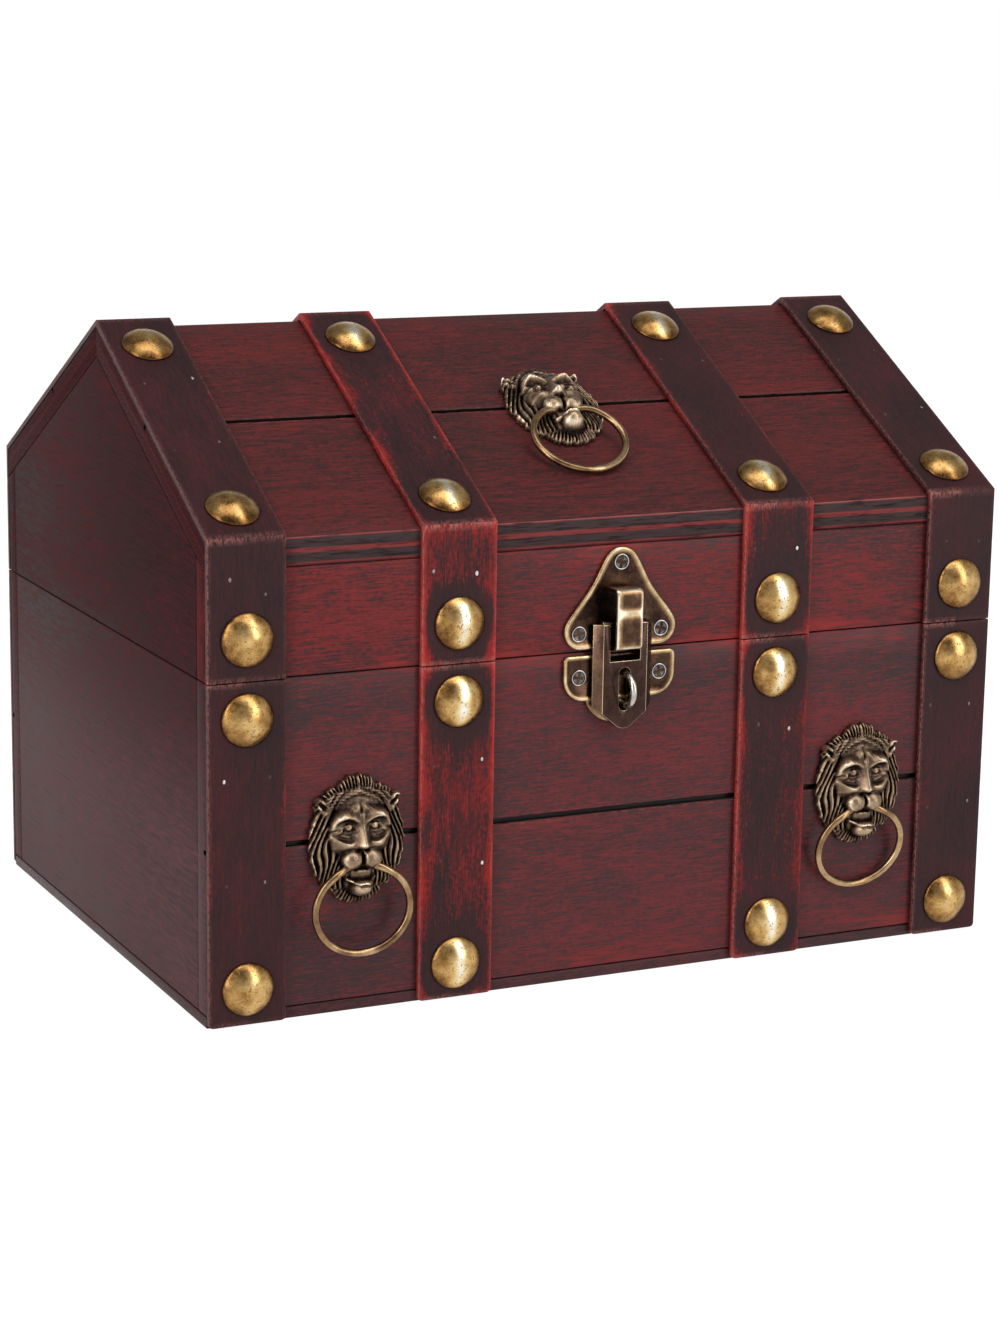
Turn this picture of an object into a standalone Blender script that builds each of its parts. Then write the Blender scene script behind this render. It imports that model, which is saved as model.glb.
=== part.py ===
"""Small gabled treasure chest of stained plywood.

The base is a box of four boards on a thin bottom. The lid is a house-shaped box of two short boards,
two gables and two sloping boards. Four stained strips run round both, held by domed nails. A hasp with
a swinging flap closes the front, three lion masks carry pull rings, and two stop hinges join the back.

Frame: metres, +X to the right, front towards -Y, +Z up, origin at the centre of the underside.
"""

import math

import bmesh
import bpy
from mathutils import Matrix, Vector

MM = 0.001

# Case
WIDTH = 229.0 * MM
BODY_DEPTH = 163.0 * MM
BASE_TOP = 88.9 * MM
EAVE_HEIGHT = 124.3 * MM
RIDGE_HEIGHT = 168.25 * MM
WALL = 6.0 * MM
SLOPE_BOARD = 6.5 * MM
BOTTOM_BOARD = 3.0 * MM

# Clearances
SEAT_GAP = 0.3 * MM
LID_GAP = 0.3 * MM
RUNNING_GAP = 0.3 * MM

# Saw kerfs that divide the boards into planks
KERF_WIDTH = 1.3 * MM
KERF_DEPTH = 1.6 * MM
BASE_KERF_HEIGHT = 45.9 * MM
SLOPE_KERF_RUN = 48.8 * MM

# Strips round the case
STRAP_WIDTH = 20.7 * MM
STRAP_THICK = 1.6 * MM
STRAP_EDGE = 0.45 * MM
STRAP_PITCH = 57.55 * MM
STRAP_FOOT = 0.4 * MM

# Domed nails
STUD_RADIUS = 7.1 * MM
STUD_RISE = 3.3 * MM
STUD_RIM = 0.5 * MM
STUD_SHANK_RADIUS = 0.8 * MM
STUD_SHANK_LENGTH = 6.5 * MM
STUD_SEGMENTS = 16
STUD_BANDS = 3
LOW_STUD_HEIGHT = 9.8 * MM
HIGH_STUD_DROP = 9.4 * MM
LID_STUD_RISE = 10.5 * MM
EAVE_STUD_RUN = 10.2 * MM
RIDGE_STUD_RUN = 11.8 * MM

# Lion masks
MASK_HALF_WIDTH = 13.2 * MM
MASK_HALF_HEIGHT = 16.7 * MM
MASK_RELIEF = 8.4 * MM
MASK_EDGE = 1.1 * MM
MASK_PITCH = 29.75 * MM
MASK_HEIGHT = 45.9 * MM
MASK_SLOPE_RUN = 46.8 * MM
MOUTH_DROP = 6.4 * MM
MOUTH_RISE = 5.5 * MM
MASK_POST_RADIUS = 1.5 * MM
MASK_POST_LENGTH = 4.5 * MM
MASK_BANDS = 13
MASK_CRISPNESS = 24.0
MANE_LOCKS = 24
MANE_COMB = 0.03

# Pull rings
RING_HALF_WIDTH = 13.0 * MM
RING_HALF_HEIGHT = 11.45 * MM
RING_WIRE = 1.0 * MM
RING_PIN_HALF = 3.4 * MM
RING_SEGMENTS = 30

# Hasp
HASP_PLATE = 1.0 * MM
HASP_RIM = 1.3 * MM
HASP_RECESS = 0.35 * MM
HASP_SPLIT_GAP = 0.6 * MM
TOP_PLATE_HEIGHT = 27.2 * MM
TOP_PLATE_APEX = 5.2 * MM
TOP_PLATE_LOBE = 4.9 * MM
HASP_HALF_WIDTH = 16.3 * MM
LOWER_WING = 6.1 * MM
LOWER_PLATE_HEIGHT = 18.2 * MM
LOWER_LOBE = 9.2 * MM
LOWER_CORNER = 1.0 * MM
LOOP_WIDTH = 7.5 * MM
LOOP_BAND = 1.1 * MM
LOOP_REACH = 6.2 * MM
LOOP_RISE = 15.0 * MM
LOOP_BEND = 1.2 * MM
FLAP_WIDTH = 17.2 * MM
FLAP_THICK = 2.6 * MM
FLAP_CHAMFER = 2.2 * MM
FLAP_CHAMFER_DEPTH = 1.8 * MM
FLAP_BAR = 1.2 * MM
FLAP_PIVOT_RISE = 7.0 * MM
FLAP_TIP_DROP = 20.2 * MM
FLAP_SHOULDER_DROP = 13.2 * MM
FLAP_TIP_RADIUS = 3.4 * MM
WINDOW_CLEARANCE = 0.7 * MM
WINDOW_SWING_GAP = 0.9 * MM
STAPLE_DROP = 11.6 * MM
STAPLE_RADIUS = 4.1 * MM
STAPLE_WIRE = 0.9 * MM
STAPLE_PROUD = 6.0 * MM
SLOT_CLEARANCE = 0.8 * MM

# Back hinges
HINGE_WIDTH = 24.0 * MM
HINGE_LEAF = 1.0 * MM
HINGE_LEAF_HEIGHT = 13.0 * MM
HINGE_KNUCKLE = 2.4 * MM
HINGE_MIDDLE = 8.0 * MM
HINGE_PIN_RADIUS = 0.9 * MM
HINGE_PIN_HEAD = 1.6 * MM
HINGE_PIN_HEAD_LENGTH = 0.6 * MM
HINGE_PIN_SEGMENTS = 12
HINGE_ROOT = 0.6 * MM
STOP_TAB_LENGTH = 4.6 * MM
LID_OPENING = math.radians(105.0)

# Round pieces
HOLE_SIDES = 8
KNUCKLE_SIDES = 16
ARC_STEPS = 8
SLIVER = 0.04 * MM

# Places worked out from the sizes above
FACE = BODY_DEPTH / 2
LID_BOTTOM = BASE_TOP + LID_GAP
SLOPE = math.atan2(RIDGE_HEIGHT - EAVE_HEIGHT, FACE)
SLOPE_RUN = math.hypot(RIDGE_HEIGHT - EAVE_HEIGHT, FACE)
SLOPE_DROP = SLOPE_BOARD / math.cos(SLOPE)
OUTER_STRAP_X = (WIDTH - STRAP_WIDTH) / 2
INNER_STRAP_X = OUTER_STRAP_X - STRAP_PITCH
MASK_X = OUTER_STRAP_X - MASK_PITCH
HINGE_X = (OUTER_STRAP_X + INNER_STRAP_X) / 2
STRAP_PLACES = (-OUTER_STRAP_X, -INNER_STRAP_X, INNER_STRAP_X, OUTER_STRAP_X)
STRAP_TOP = SEAT_GAP + STRAP_THICK
HINGE_AXIS_Y = FACE + SEAT_GAP + HINGE_KNUCKLE
HINGE_AXIS_Z = BASE_TOP + LID_GAP / 2
PLATE_FACE = SEAT_GAP + HASP_PLATE
FLAP_BACK = PLATE_FACE + RUNNING_GAP
FLAP_AXIS_OUT = FLAP_BACK + FLAP_THICK / 2
FLAP_AXIS_Z = LID_BOTTOM + FLAP_PIVOT_RISE
STAPLE_Z = BASE_TOP - STAPLE_DROP
RING_PIN_TURN = math.asin(RING_PIN_HALF / RING_HALF_WIDTH)
RING_DEPTH = RING_HALF_HEIGHT * math.cos(RING_PIN_TURN)
RING_AXIS_OUT = SEAT_GAP + MOUTH_RISE
MASK_SPOKES = 2 * MANE_LOCKS
RING_LEAN = math.asin((RING_AXIS_OUT - RING_WIRE - SEAT_GAP) / (RING_DEPTH + RING_HALF_HEIGHT))


def clear_scene():
    for item in list(bpy.data.objects):
        bpy.data.objects.remove(item, do_unlink=True)


def new_collection(name):
    collection = bpy.data.collections.new(name)
    bpy.context.scene.collection.children.link(collection)
    return collection


def new_material(name, colour, roughness, metallic):
    material = bpy.data.materials.new(name)
    material.use_nodes = True
    shader = material.node_tree.nodes["Principled BSDF"]
    shader.inputs["Base Color"].default_value = (*colour, 1.0)
    shader.inputs["Roughness"].default_value = roughness
    shader.inputs["Metallic"].default_value = metallic
    material.diffuse_color = (*colour, 1.0)
    return material


clear_scene()
CHEST = new_collection("treasure_chest")
CUTTERS = new_collection("treasure_chest_cutters")

BOARD_STAIN = new_material("board_stain", (0.13, 0.022, 0.022), 0.5, 0.0)
END_STAIN = new_material("end_stain", (0.075, 0.024, 0.026), 0.55, 0.0)
STRAP_STAIN = new_material("strap_stain", (0.085, 0.016, 0.018), 0.45, 0.0)
STUD_BRASS = new_material("stud_brass", (0.72, 0.45, 0.12), 0.3, 1.0)
MASK_BRONZE = new_material("mask_bronze", (0.32, 0.24, 0.15), 0.42, 1.0)
RING_BRASS = new_material("ring_brass", (0.55, 0.39, 0.18), 0.32, 1.0)
HASP_BRASS = new_material("hasp_brass", (0.38, 0.25, 0.11), 0.36, 1.0)
HINGE_BRASS = new_material("hinge_brass", (0.45, 0.32, 0.14), 0.4, 1.0)


def finish_mesh(name, bm, smooth_angle=None):
    """Turn a bmesh into a mesh with its faces pointing out."""
    bmesh.ops.recalc_face_normals(bm, faces=bm.faces)
    mesh = bpy.data.meshes.new(name)
    bm.to_mesh(mesh)
    bm.free()
    if smooth_angle is not None:
        mesh.shade_smooth()
        mesh.set_sharp_from_angle(angle=smooth_angle)
    return mesh


def add_part(name, mesh, material, place=None, pivot=None):
    """Put one sub-part in the chest, hung on its pivot if it moves."""
    part = bpy.data.objects.new(name, mesh)
    CHEST.objects.link(part)
    mesh.materials.clear()
    mesh.materials.append(material)
    part.matrix_world = place or Matrix.Identity(4)
    if pivot:
        part.parent = pivot
        part.matrix_parent_inverse = pivot.matrix_world.inverted()
    return part


def add_pivot(name, location):
    pivot = bpy.data.objects.new(name, None)
    pivot.empty_display_size = STRAP_WIDTH
    pivot.location = location
    CHEST.objects.link(pivot)
    bpy.context.view_layer.update()
    return pivot


def combine(part, mesh, operation, place=None):
    """Cut a helper mesh out of a part, join it on, or keep what they share."""
    helper = bpy.data.objects.new(f"{part.name}_{operation.lower()}", mesh)
    CUTTERS.objects.link(helper)
    helper.matrix_world = place or part.matrix_world
    helper.hide_render = True
    helper.display_type = "WIRE"
    modifier = part.modifiers.new(operation.lower(), "BOOLEAN")
    modifier.operation = operation
    modifier.solver = "EXACT"
    modifier.object = helper


def round_edges(part, width, segments=1):
    bevel = part.modifiers.new("edges", "BEVEL")
    bevel.width = width
    bevel.segments = segments
    bevel.limit_method = "ANGLE"
    bevel.angle_limit = math.radians(40)


def close_slivers(part):
    """Weld the tiny edges that cuts leave behind."""
    weld = part.modifiers.new("slivers", "WELD")
    weld.merge_threshold = SLIVER


def add_box(bm, low, high):
    low = Vector(low)
    high = Vector(high)
    size = high - low
    middle = Matrix.Translation((low + high) / 2)
    bmesh.ops.create_cube(bm, size=1.0, matrix=middle @ Matrix.Diagonal((*size, 1.0)))


def box_mesh(name, low, high):
    bm = bmesh.new()
    add_box(bm, low, high)
    return finish_mesh(name, bm)


def add_rod(bm, place, radius, start, end, sides):
    """A closed cylinder along the local Z axis of a place, from start to end."""
    middle = place @ Matrix.Translation((0, 0, (start + end) / 2))
    bmesh.ops.create_cone(bm, cap_ends=True, segments=sides, radius1=radius, radius2=radius,
                          depth=abs(end - start), matrix=middle)


def rod_mesh(name, place, radius, start, end, sides):
    bm = bmesh.new()
    add_rod(bm, place, radius, start, end, sides)
    return finish_mesh(name, bm)


def turned_mesh(name, profile, segments):
    """Turn a profile of (radius, height) points round the local Z axis."""
    bm = bmesh.new()
    points = [bm.verts.new((radius, 0, height)) for radius, height in profile]
    edges = [bm.edges.new(pair) for pair in zip(points, points[1:])]
    bmesh.ops.spin(bm, geom=points + edges, cent=(0, 0, 0), axis=(0, 0, 1), angle=math.tau,
                   steps=segments, use_merge=True)
    bmesh.ops.remove_doubles(bm, verts=bm.verts, dist=0.001 * MM)
    return finish_mesh(name, bm, math.radians(35))


def outline_mesh(name, points, low, high):
    """Extrude a flat closed outline along local Z, from low to high."""
    flat = bpy.data.curves.new(name, "CURVE")
    flat.dimensions = "2D"
    flat.fill_mode = "BOTH"
    flat.extrude = (high - low) / 2
    line = flat.splines.new("POLY")
    line.points.add(len(points) - 1)
    for point, (x, y) in zip(line.points, points):
        point.co = (x, y, 0, 1)
    line.use_cyclic_u = True
    carrier = bpy.data.objects.new(name, flat)
    CUTTERS.objects.link(carrier)
    view = bpy.context.evaluated_depsgraph_get()
    mesh = bpy.data.meshes.new_from_object(carrier.evaluated_get(view))
    bpy.data.objects.remove(carrier, do_unlink=True)
    bm = bmesh.new()
    bm.from_mesh(mesh)
    bpy.data.meshes.remove(mesh)
    bmesh.ops.remove_doubles(bm, verts=bm.verts, dist=0.001 * MM)
    bmesh.ops.translate(bm, verts=bm.verts, vec=(0, 0, (low + high) / 2))
    return finish_mesh(name, bm)


def arc(centre, radius, start, end, steps=ARC_STEPS):
    """Points on an arc, angles in radians, both ends included."""
    angles = [start + (end - start) * step / steps for step in range(steps + 1)]
    return [(centre[0] + radius * math.cos(a), centre[1] + radius * math.sin(a)) for a in angles]


def round_hull(circles, inset=0.0):
    """Outline drawn tight round circles (x, y, radius), given anticlockwise."""
    shrunk = [(x, y, radius - inset) for x, y, radius in circles]
    normals = []
    for (x0, y0, r0), (x1, y1, r1) in zip(shrunk, shrunk[1:] + shrunk[:1]):
        heading = math.atan2(y1 - y0, x1 - x0)
        normals.append(heading - math.acos((r0 - r1) / math.hypot(x1 - x0, y1 - y0)))
    points = []
    for index, (x, y, radius) in enumerate(shrunk):
        start = normals[index - 1]
        turn = (normals[index] - start) % math.tau
        if radius > 0:
            points += arc((x, y), radius, start, start + turn)
        else:
            middle = start + turn / 2
            reach = radius / math.cos(turn / 2)
            points.append((x + reach * math.cos(middle), y + reach * math.sin(middle)))
    return points


def offset_path(path, distance):
    """Shift an open path to its left by a distance, with mitred corners."""
    shifted = []
    for index, point in enumerate(path):
        before = path[max(index - 1, 0):index + 1]
        after = path[index:index + 2]
        sides = []
        for pair in (before, after):
            if len(pair) == 2:
                run = math.atan2(pair[1][1] - pair[0][1], pair[1][0] - pair[0][0])
                sides.append(run + math.pi / 2)
        middle = sum(sides) / len(sides)
        reach = distance / math.cos(sides[0] - middle)
        shifted.append((point[0] + reach * math.cos(middle), point[1] + reach * math.sin(middle)))
    return shifted


def front_place(x, height):
    """Local X right, Y up, Z out of the front face."""
    turn = Matrix(((1, 0, 0, 0), (0, 0, -1, 0), (0, 1, 0, 0), (0, 0, 0, 1)))
    return Matrix.Translation((x, -FACE, height)) @ turn


def slope_place(x, run):
    """Local X right, Y up the front slope, Z out of it, at a run from the eave."""
    eave = Vector((x, -FACE, EAVE_HEIGHT))
    along = Vector((0, math.cos(SLOPE), math.sin(SLOPE)))
    return Matrix.Translation(eave + along * run) @ Matrix.Rotation(SLOPE, 4, "X")


TURN_BACK = Matrix.Rotation(math.pi, 4, "Z")
SIDE_PLACE = Matrix(((0, 0, 1, 0), (1, 0, 0, 0), (0, 1, 0, 0), (0, 0, 0, 1)))


def side_mesh(name, outline, low_x, high_x):
    """Extrude an outline of (y, z) points along X, in chest coordinates."""
    mesh = outline_mesh(name, outline, low_x, high_x)
    mesh.transform(SIDE_PLACE)
    return mesh


def mirrored(outline):
    """The same (y, z) outline on the back of the chest."""
    return [(-y, z) for y, z in reversed(outline)]


def stud_places():
    """Every domed nail: its name and its place on the bare boards."""
    heights = {
        "base_low": LOW_STUD_HEIGHT,
        "base_high": BASE_TOP - HIGH_STUD_DROP,
        "lid_front": LID_BOTTOM + LID_STUD_RISE,
    }
    runs = {"roof_low": EAVE_STUD_RUN, "roof_high": SLOPE_RUN - RIDGE_STUD_RUN}
    places = {}
    for number, x in enumerate(STRAP_PLACES, start=1):
        for row, height in heights.items():
            places[(number, row)] = front_place(x, height)
        for row, run in runs.items():
            places[(number, row)] = slope_place(x, run)
    return places


STUD_PLACES = stud_places()
MASK_PLACES = {
    "left": front_place(-MASK_X, MASK_HEIGHT),
    "right": front_place(MASK_X, MASK_HEIGHT),
    "lid": slope_place(0, MASK_SLOPE_RUN),
}


def drill(bm, rows, masks=(), number=None):
    """Add the nail and mask-post holes of some rows to a cutter."""
    depth = STRAP_TOP - STUD_SHANK_LENGTH
    for (strap, row), place in STUD_PLACES.items():
        if row in rows and number in (None, strap):
            add_rod(bm, place, STUD_SHANK_RADIUS + RUNNING_GAP, depth, STRAP_TOP + SEAT_GAP, HOLE_SIDES)
    for mask in masks:
        add_rod(bm, MASK_PLACES[mask], MASK_POST_RADIUS + RUNNING_GAP,
                -MASK_POST_LENGTH - SEAT_GAP, SEAT_GAP, HOLE_SIDES)


def cut_kerf(board, place):
    """Saw a kerf right across a board."""
    kerf = box_mesh("kerf", (-WIDTH, -KERF_WIDTH / 2, -KERF_DEPTH), (WIDTH, KERF_WIDTH / 2, KERF_DEPTH))
    combine(board, kerf, "DIFFERENCE", place)


LID_PIVOT = add_pivot("lid_pivot", (0, HINGE_AXIS_Y, HINGE_AXIS_Z))


def build_base():
    """Four boards standing on a thin bottom, the long boards lapping the ends."""
    half = WIDTH / 2
    inner = FACE - WALL
    foot = BOTTOM_BOARD + SEAT_GAP
    add_part("base_bottom", box_mesh("base_bottom", (-half, -FACE, 0), (half, FACE, BOTTOM_BOARD)),
             BOARD_STAIN)
    front = add_part("base_front_board",
                     box_mesh("base_front_board", (-half, -FACE, foot), (half, -inner, BASE_TOP)),
                     BOARD_STAIN)
    back = add_part("base_back_board",
                    box_mesh("base_back_board", (-half, inner, foot), (half, FACE, BASE_TOP)),
                    BOARD_STAIN)
    cuts = bmesh.new()
    drill(cuts, ("base_low", "base_high"), ("left", "right"))
    combine(front, finish_mesh("base_front_cuts", cuts), "DIFFERENCE")
    cut_kerf(front, front_place(0, BASE_KERF_HEIGHT))
    cut_kerf(back, TURN_BACK @ front_place(0, BASE_KERF_HEIGHT))
    reach = inner - SEAT_GAP
    for name, low, high in (("base_left_end", -half, WALL - half), ("base_right_end", half - WALL, half)):
        add_part(name, box_mesh(name, (low, -reach, foot), (high, reach, BASE_TOP)), END_STAIN)


def build_lid():
    """Two short boards, two gables and two sloping boards that meet at the ridge."""
    half = WIDTH / 2
    inner = FACE - WALL
    rise = math.tan(SLOPE)
    under_eave = EAVE_HEIGHT - SLOPE_DROP
    seat = under_eave - SEAT_GAP
    board = [(-FACE, LID_BOTTOM), (-inner, LID_BOTTOM), (-inner, seat + WALL * rise), (-FACE, seat)]
    front = add_part("lid_front_board", side_mesh("lid_front_board", board, -half, half),
                     BOARD_STAIN, pivot=LID_PIVOT)
    add_part("lid_back_board", side_mesh("lid_back_board", mirrored(board), -half, half),
             BOARD_STAIN, pivot=LID_PIVOT)
    cuts = bmesh.new()
    drill(cuts, ("lid_front",))
    combine(front, finish_mesh("lid_front_cuts", cuts), "DIFFERENCE")

    reach = inner - SEAT_GAP
    shoulder = seat + (FACE - reach) * rise
    gable = [(-reach, LID_BOTTOM), (reach, LID_BOTTOM), (reach, shoulder), (0, seat + FACE * rise),
             (-reach, shoulder)]
    add_part("lid_left_gable", side_mesh("lid_left_gable", gable, -half, WALL - half),
             END_STAIN, pivot=LID_PIVOT)
    add_part("lid_right_gable", side_mesh("lid_right_gable", gable, half - WALL, half),
             END_STAIN, pivot=LID_PIVOT)

    mitre = SEAT_GAP / 2
    top = RIDGE_HEIGHT - mitre * rise
    slope = [(-FACE, EAVE_HEIGHT), (-FACE, under_eave), (-mitre, top - SLOPE_DROP), (-mitre, top)]
    front = add_part("lid_front_slope", side_mesh("lid_front_slope", slope, -half, half),
                     BOARD_STAIN, pivot=LID_PIVOT)
    back = add_part("lid_back_slope", side_mesh("lid_back_slope", mirrored(slope), -half, half),
                    BOARD_STAIN, pivot=LID_PIVOT)
    cuts = bmesh.new()
    drill(cuts, ("roof_low", "roof_high"), ("lid",))
    combine(front, finish_mesh("front_slope_cuts", cuts), "DIFFERENCE")
    cut_kerf(front, slope_place(0, SLOPE_KERF_RUN))
    cut_kerf(back, TURN_BACK @ slope_place(0, SLOPE_KERF_RUN))


def build_straps():
    """Thin strips: one over the lid and one down each face of the base, four times."""
    ridge_path = [(-FACE, LID_BOTTOM), (-FACE, EAVE_HEIGHT), (0, RIDGE_HEIGHT), (FACE, EAVE_HEIGHT),
                  (FACE, LID_BOTTOM)]
    wrap = offset_path(ridge_path, STRAP_TOP)[::-1] + offset_path(ridge_path, SEAT_GAP)
    outer = -FACE - STRAP_TOP
    inner = -FACE - SEAT_GAP
    upright = [(outer, STRAP_FOOT), (inner, STRAP_FOOT), (inner, BASE_TOP), (outer, BASE_TOP)]
    for number, x in enumerate(STRAP_PLACES, start=1):
        low = x - STRAP_WIDTH / 2
        high = x + STRAP_WIDTH / 2
        name = f"lid_strap_{number}"
        lid = add_part(name, side_mesh(name, wrap, low, high), STRAP_STAIN, pivot=LID_PIVOT)
        round_edges(lid, STRAP_EDGE)
        cuts = bmesh.new()
        drill(cuts, ("lid_front", "roof_low", "roof_high"), number=number)
        combine(lid, finish_mesh("lid_strap_cuts", cuts), "DIFFERENCE")
        name = f"base_front_strap_{number}"
        front = add_part(name, side_mesh(name, upright, low, high), STRAP_STAIN)
        round_edges(front, STRAP_EDGE)
        cuts = bmesh.new()
        drill(cuts, ("base_low", "base_high"), number=number)
        combine(front, finish_mesh("base_strap_cuts", cuts), "DIFFERENCE")
        name = f"base_back_strap_{number}"
        back = add_part(name, side_mesh(name, mirrored(upright), low, high), STRAP_STAIN)
        round_edges(back, STRAP_EDGE)


def build_studs():
    """Domed nails: a cap that sits on the strip and a shank through it into the board."""
    seat = STRAP_TOP + SEAT_GAP
    rise = STUD_RISE - STUD_RIM
    ball = (STUD_RADIUS ** 2 + rise ** 2) / (2 * rise)
    half_angle = math.asin(STUD_RADIUS / ball)
    profile = []
    for band in range(STUD_BANDS + 1):
        angle = half_angle * band / STUD_BANDS
        profile.append((ball * math.sin(angle), seat + STUD_RISE - ball * (1 - math.cos(angle))))
    profile += [(STUD_RADIUS, seat), (STUD_SHANK_RADIUS, seat),
                (STUD_SHANK_RADIUS, seat - STUD_SHANK_LENGTH + STUD_SHANK_RADIUS),
                (0, seat - STUD_SHANK_LENGTH)]
    for (number, row), place in STUD_PLACES.items():
        mesh = turned_mesh(f"stud_{number}_{row}", profile, STUD_SEGMENTS)
        on_lid = not row.startswith("base")
        add_part(f"stud_{number}_{row}", mesh, STUD_BRASS, place, LID_PIVOT if on_lid else None)


# The carved forms of the lion's face, the same on both cheeks: where the middle is across and up,
# half the size across and up, the level it stands on and how far it rises from there. All are shares
# of the mask's half width, half height and relief.
MASK_FORMS = {
    "forehead": (0.00, 0.34, 0.62, 0.48, 0.20, 0.34),
    "jaw": (0.00, -0.22, 0.50, 0.52, 0.20, 0.30),
    "brow": (0.36, 0.40, 0.29, 0.14, 0.36, 0.28),
    "nose_bridge": (0.00, 0.22, 0.13, 0.36, 0.36, 0.40),
    "nose": (0.00, -0.02, 0.18, 0.12, 0.50, 0.46),
    "cheek": (0.42, -0.03, 0.25, 0.13, 0.24, 0.28),
    "muzzle": (0.215, -0.235, 0.20, 0.15, 0.48, 0.34),
    "mouth": (0.00, -0.385, 0.25, 0.14, 0.62, 0.26),
    "lip": (0.00, -0.585, 0.30, 0.07, 0.34, 0.28),
    "chin": (0.00, -0.69, 0.23, 0.13, 0.34, 0.34),
    "ear": (0.81, 0.57, 0.14, 0.13, 0.10, 0.26),
    "hair": (0.00, 0.77, 0.50, 0.13, 0.18, 0.24),
}
EYE_SOCKET = (0.275, 0.22, 0.17, 0.11, 0.20)


def swell(across, up, form):
    """Height of one carved form at a point, or nothing outside it."""
    middle_x, middle_y, half_x, half_y, level, rise = form
    away = ((abs(across) - middle_x) / half_x) ** 2 + ((up - middle_y) / half_y) ** 2
    return level + rise * (1 - away) ** 0.6 if away < 1 else 0.0


def mask_reach(angle):
    """Outline of the mask: an oval with ears and the tips of the mane."""
    oval = 1 / math.hypot(math.cos(angle) / MASK_HALF_WIDTH, math.sin(angle) / MASK_HALF_HEIGHT)
    ear = 0.06 * math.exp(-((abs(math.cos(angle)) - 0.75) / 0.12) ** 2) * (math.sin(angle) > 0)
    tips = MANE_COMB * math.cos(MANE_LOCKS * angle)
    return oval * (1 + ear + tips)


def mask_rise(angle, share):
    """Height of the mask's face above its back at a share of the way to the outline."""
    reach = mask_reach(angle) * share
    across = reach * math.cos(angle) / MASK_HALF_WIDTH
    up = reach * math.sin(angle) / MASK_HALF_HEIGHT
    mane = 0.24 * math.sqrt(1 - share ** 3) + MANE_COMB * math.cos(MANE_LOCKS * angle) * share ** 2
    layers = [mane] + [swell(across, up, form) for form in MASK_FORMS.values()]
    top = math.log(sum(math.exp(MASK_CRISPNESS * layer) for layer in layers)) / MASK_CRISPNESS
    middle_x, middle_y, half_x, half_y, depth = EYE_SOCKET
    away = ((abs(across) - middle_x) / half_x) ** 2 + ((up - middle_y) / half_y) ** 2
    return MASK_EDGE + (MASK_RELIEF - MASK_EDGE) * (top - depth * math.exp(-away))


def mask_mesh(name):
    """A cast lion mask: rings drawn out from the nose to the mane, then a flat back and a post."""
    bm = bmesh.new()
    made = bmesh.ops.create_circle(bm, cap_ends=True, cap_tris=True, segments=MASK_SPOKES, radius=1.0)
    loop = made["verts"]
    edges = [edge for edge in bm.edges if len(edge.link_faces) == 1]
    rim = [vert for vert in loop if vert.co.length > 0.5]
    nose = next(vert for vert in loop if vert not in rim)
    nose.co.z = SEAT_GAP + mask_rise(0.0, 0.0)
    for band in range(1, MASK_BANDS + 1):
        share = band / MASK_BANDS
        if band > 1:
            rim, edges = draw_out(bm, edges)
        for vert in rim:
            angle = math.atan2(vert.co.y, vert.co.x)
            reach = mask_reach(angle) * share
            vert.co = (reach * math.cos(angle), reach * math.sin(angle), SEAT_GAP + mask_rise(angle, share))
    rim, edges = draw_out(bm, edges)
    for vert in rim:
        vert.co.z = SEAT_GAP
    rim, edges = draw_out(bm, edges)
    for vert in rim:
        across = vert.co.xy.normalized() * MASK_POST_RADIUS
        vert.co = (across.x, across.y, SEAT_GAP)
    rim, edges = draw_out(bm, edges)
    for vert in rim:
        vert.co.z = -MASK_POST_LENGTH
    bmesh.ops.edgeloop_fill(bm, edges=edges)
    bmesh.ops.triangulate(bm, faces=bm.faces)
    return finish_mesh(name, bm, math.radians(50))


def draw_out(bm, edges):
    """Extrude an open loop of edges in place: the new points and the new open loop."""
    drawn = bmesh.ops.extrude_edge_only(bm, edges=edges)["geom"]
    verts = [item for item in drawn if isinstance(item, bmesh.types.BMVert)]
    loop = [item for item in drawn if isinstance(item, bmesh.types.BMEdge) and len(item.link_faces) == 1]
    return verts, loop


def build_masks():
    """Three lion masks with a bore through the mouth, each with its ring."""
    bore = MASK_HALF_WIDTH
    mouth = Matrix.Translation((0, -MOUTH_DROP, RING_AXIS_OUT))
    across = mouth @ Matrix.Rotation(math.pi / 2, 4, "Y")
    for side, place in MASK_PLACES.items():
        on_lid = side == "lid"
        pivot = LID_PIVOT if on_lid else None
        mask = add_part(f"lion_{side}", mask_mesh(f"lion_{side}"), MASK_BRONZE, place, pivot)
        hole = rod_mesh(f"mouth_{side}", across, RING_WIRE + RUNNING_GAP, -bore, bore, KNUCKLE_SIDES)
        combine(mask, hole, "DIFFERENCE")
        close_slivers(mask)
        lean = Matrix.Rotation(0.0 if side == "left" else RING_LEAN, 4, "X")
        add_part(f"ring_{side}", ring_curve(f"ring_{side}"), RING_BRASS, place @ mouth @ lean, pivot)


def ring_curve(name):
    """A wire ring whose top is a straight pin along the joint axis."""
    wire = bpy.data.curves.new(name, "CURVE")
    wire.dimensions = "3D"
    wire.bevel_depth = RING_WIRE
    wire.bevel_resolution = 2
    wire.use_fill_caps = True
    start = math.pi / 2 - RING_PIN_TURN
    points = arc((0, 0), 1.0, start, start - math.tau + 2 * RING_PIN_TURN, RING_SEGMENTS)
    line = wire.splines.new("POLY")
    line.points.add(len(points) - 1)
    for point, (x, y) in zip(line.points, points):
        point.co = (x * RING_HALF_WIDTH, y * RING_HALF_HEIGHT - RING_DEPTH, 0, 1)
    line.use_cyclic_u = True
    return wire


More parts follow.
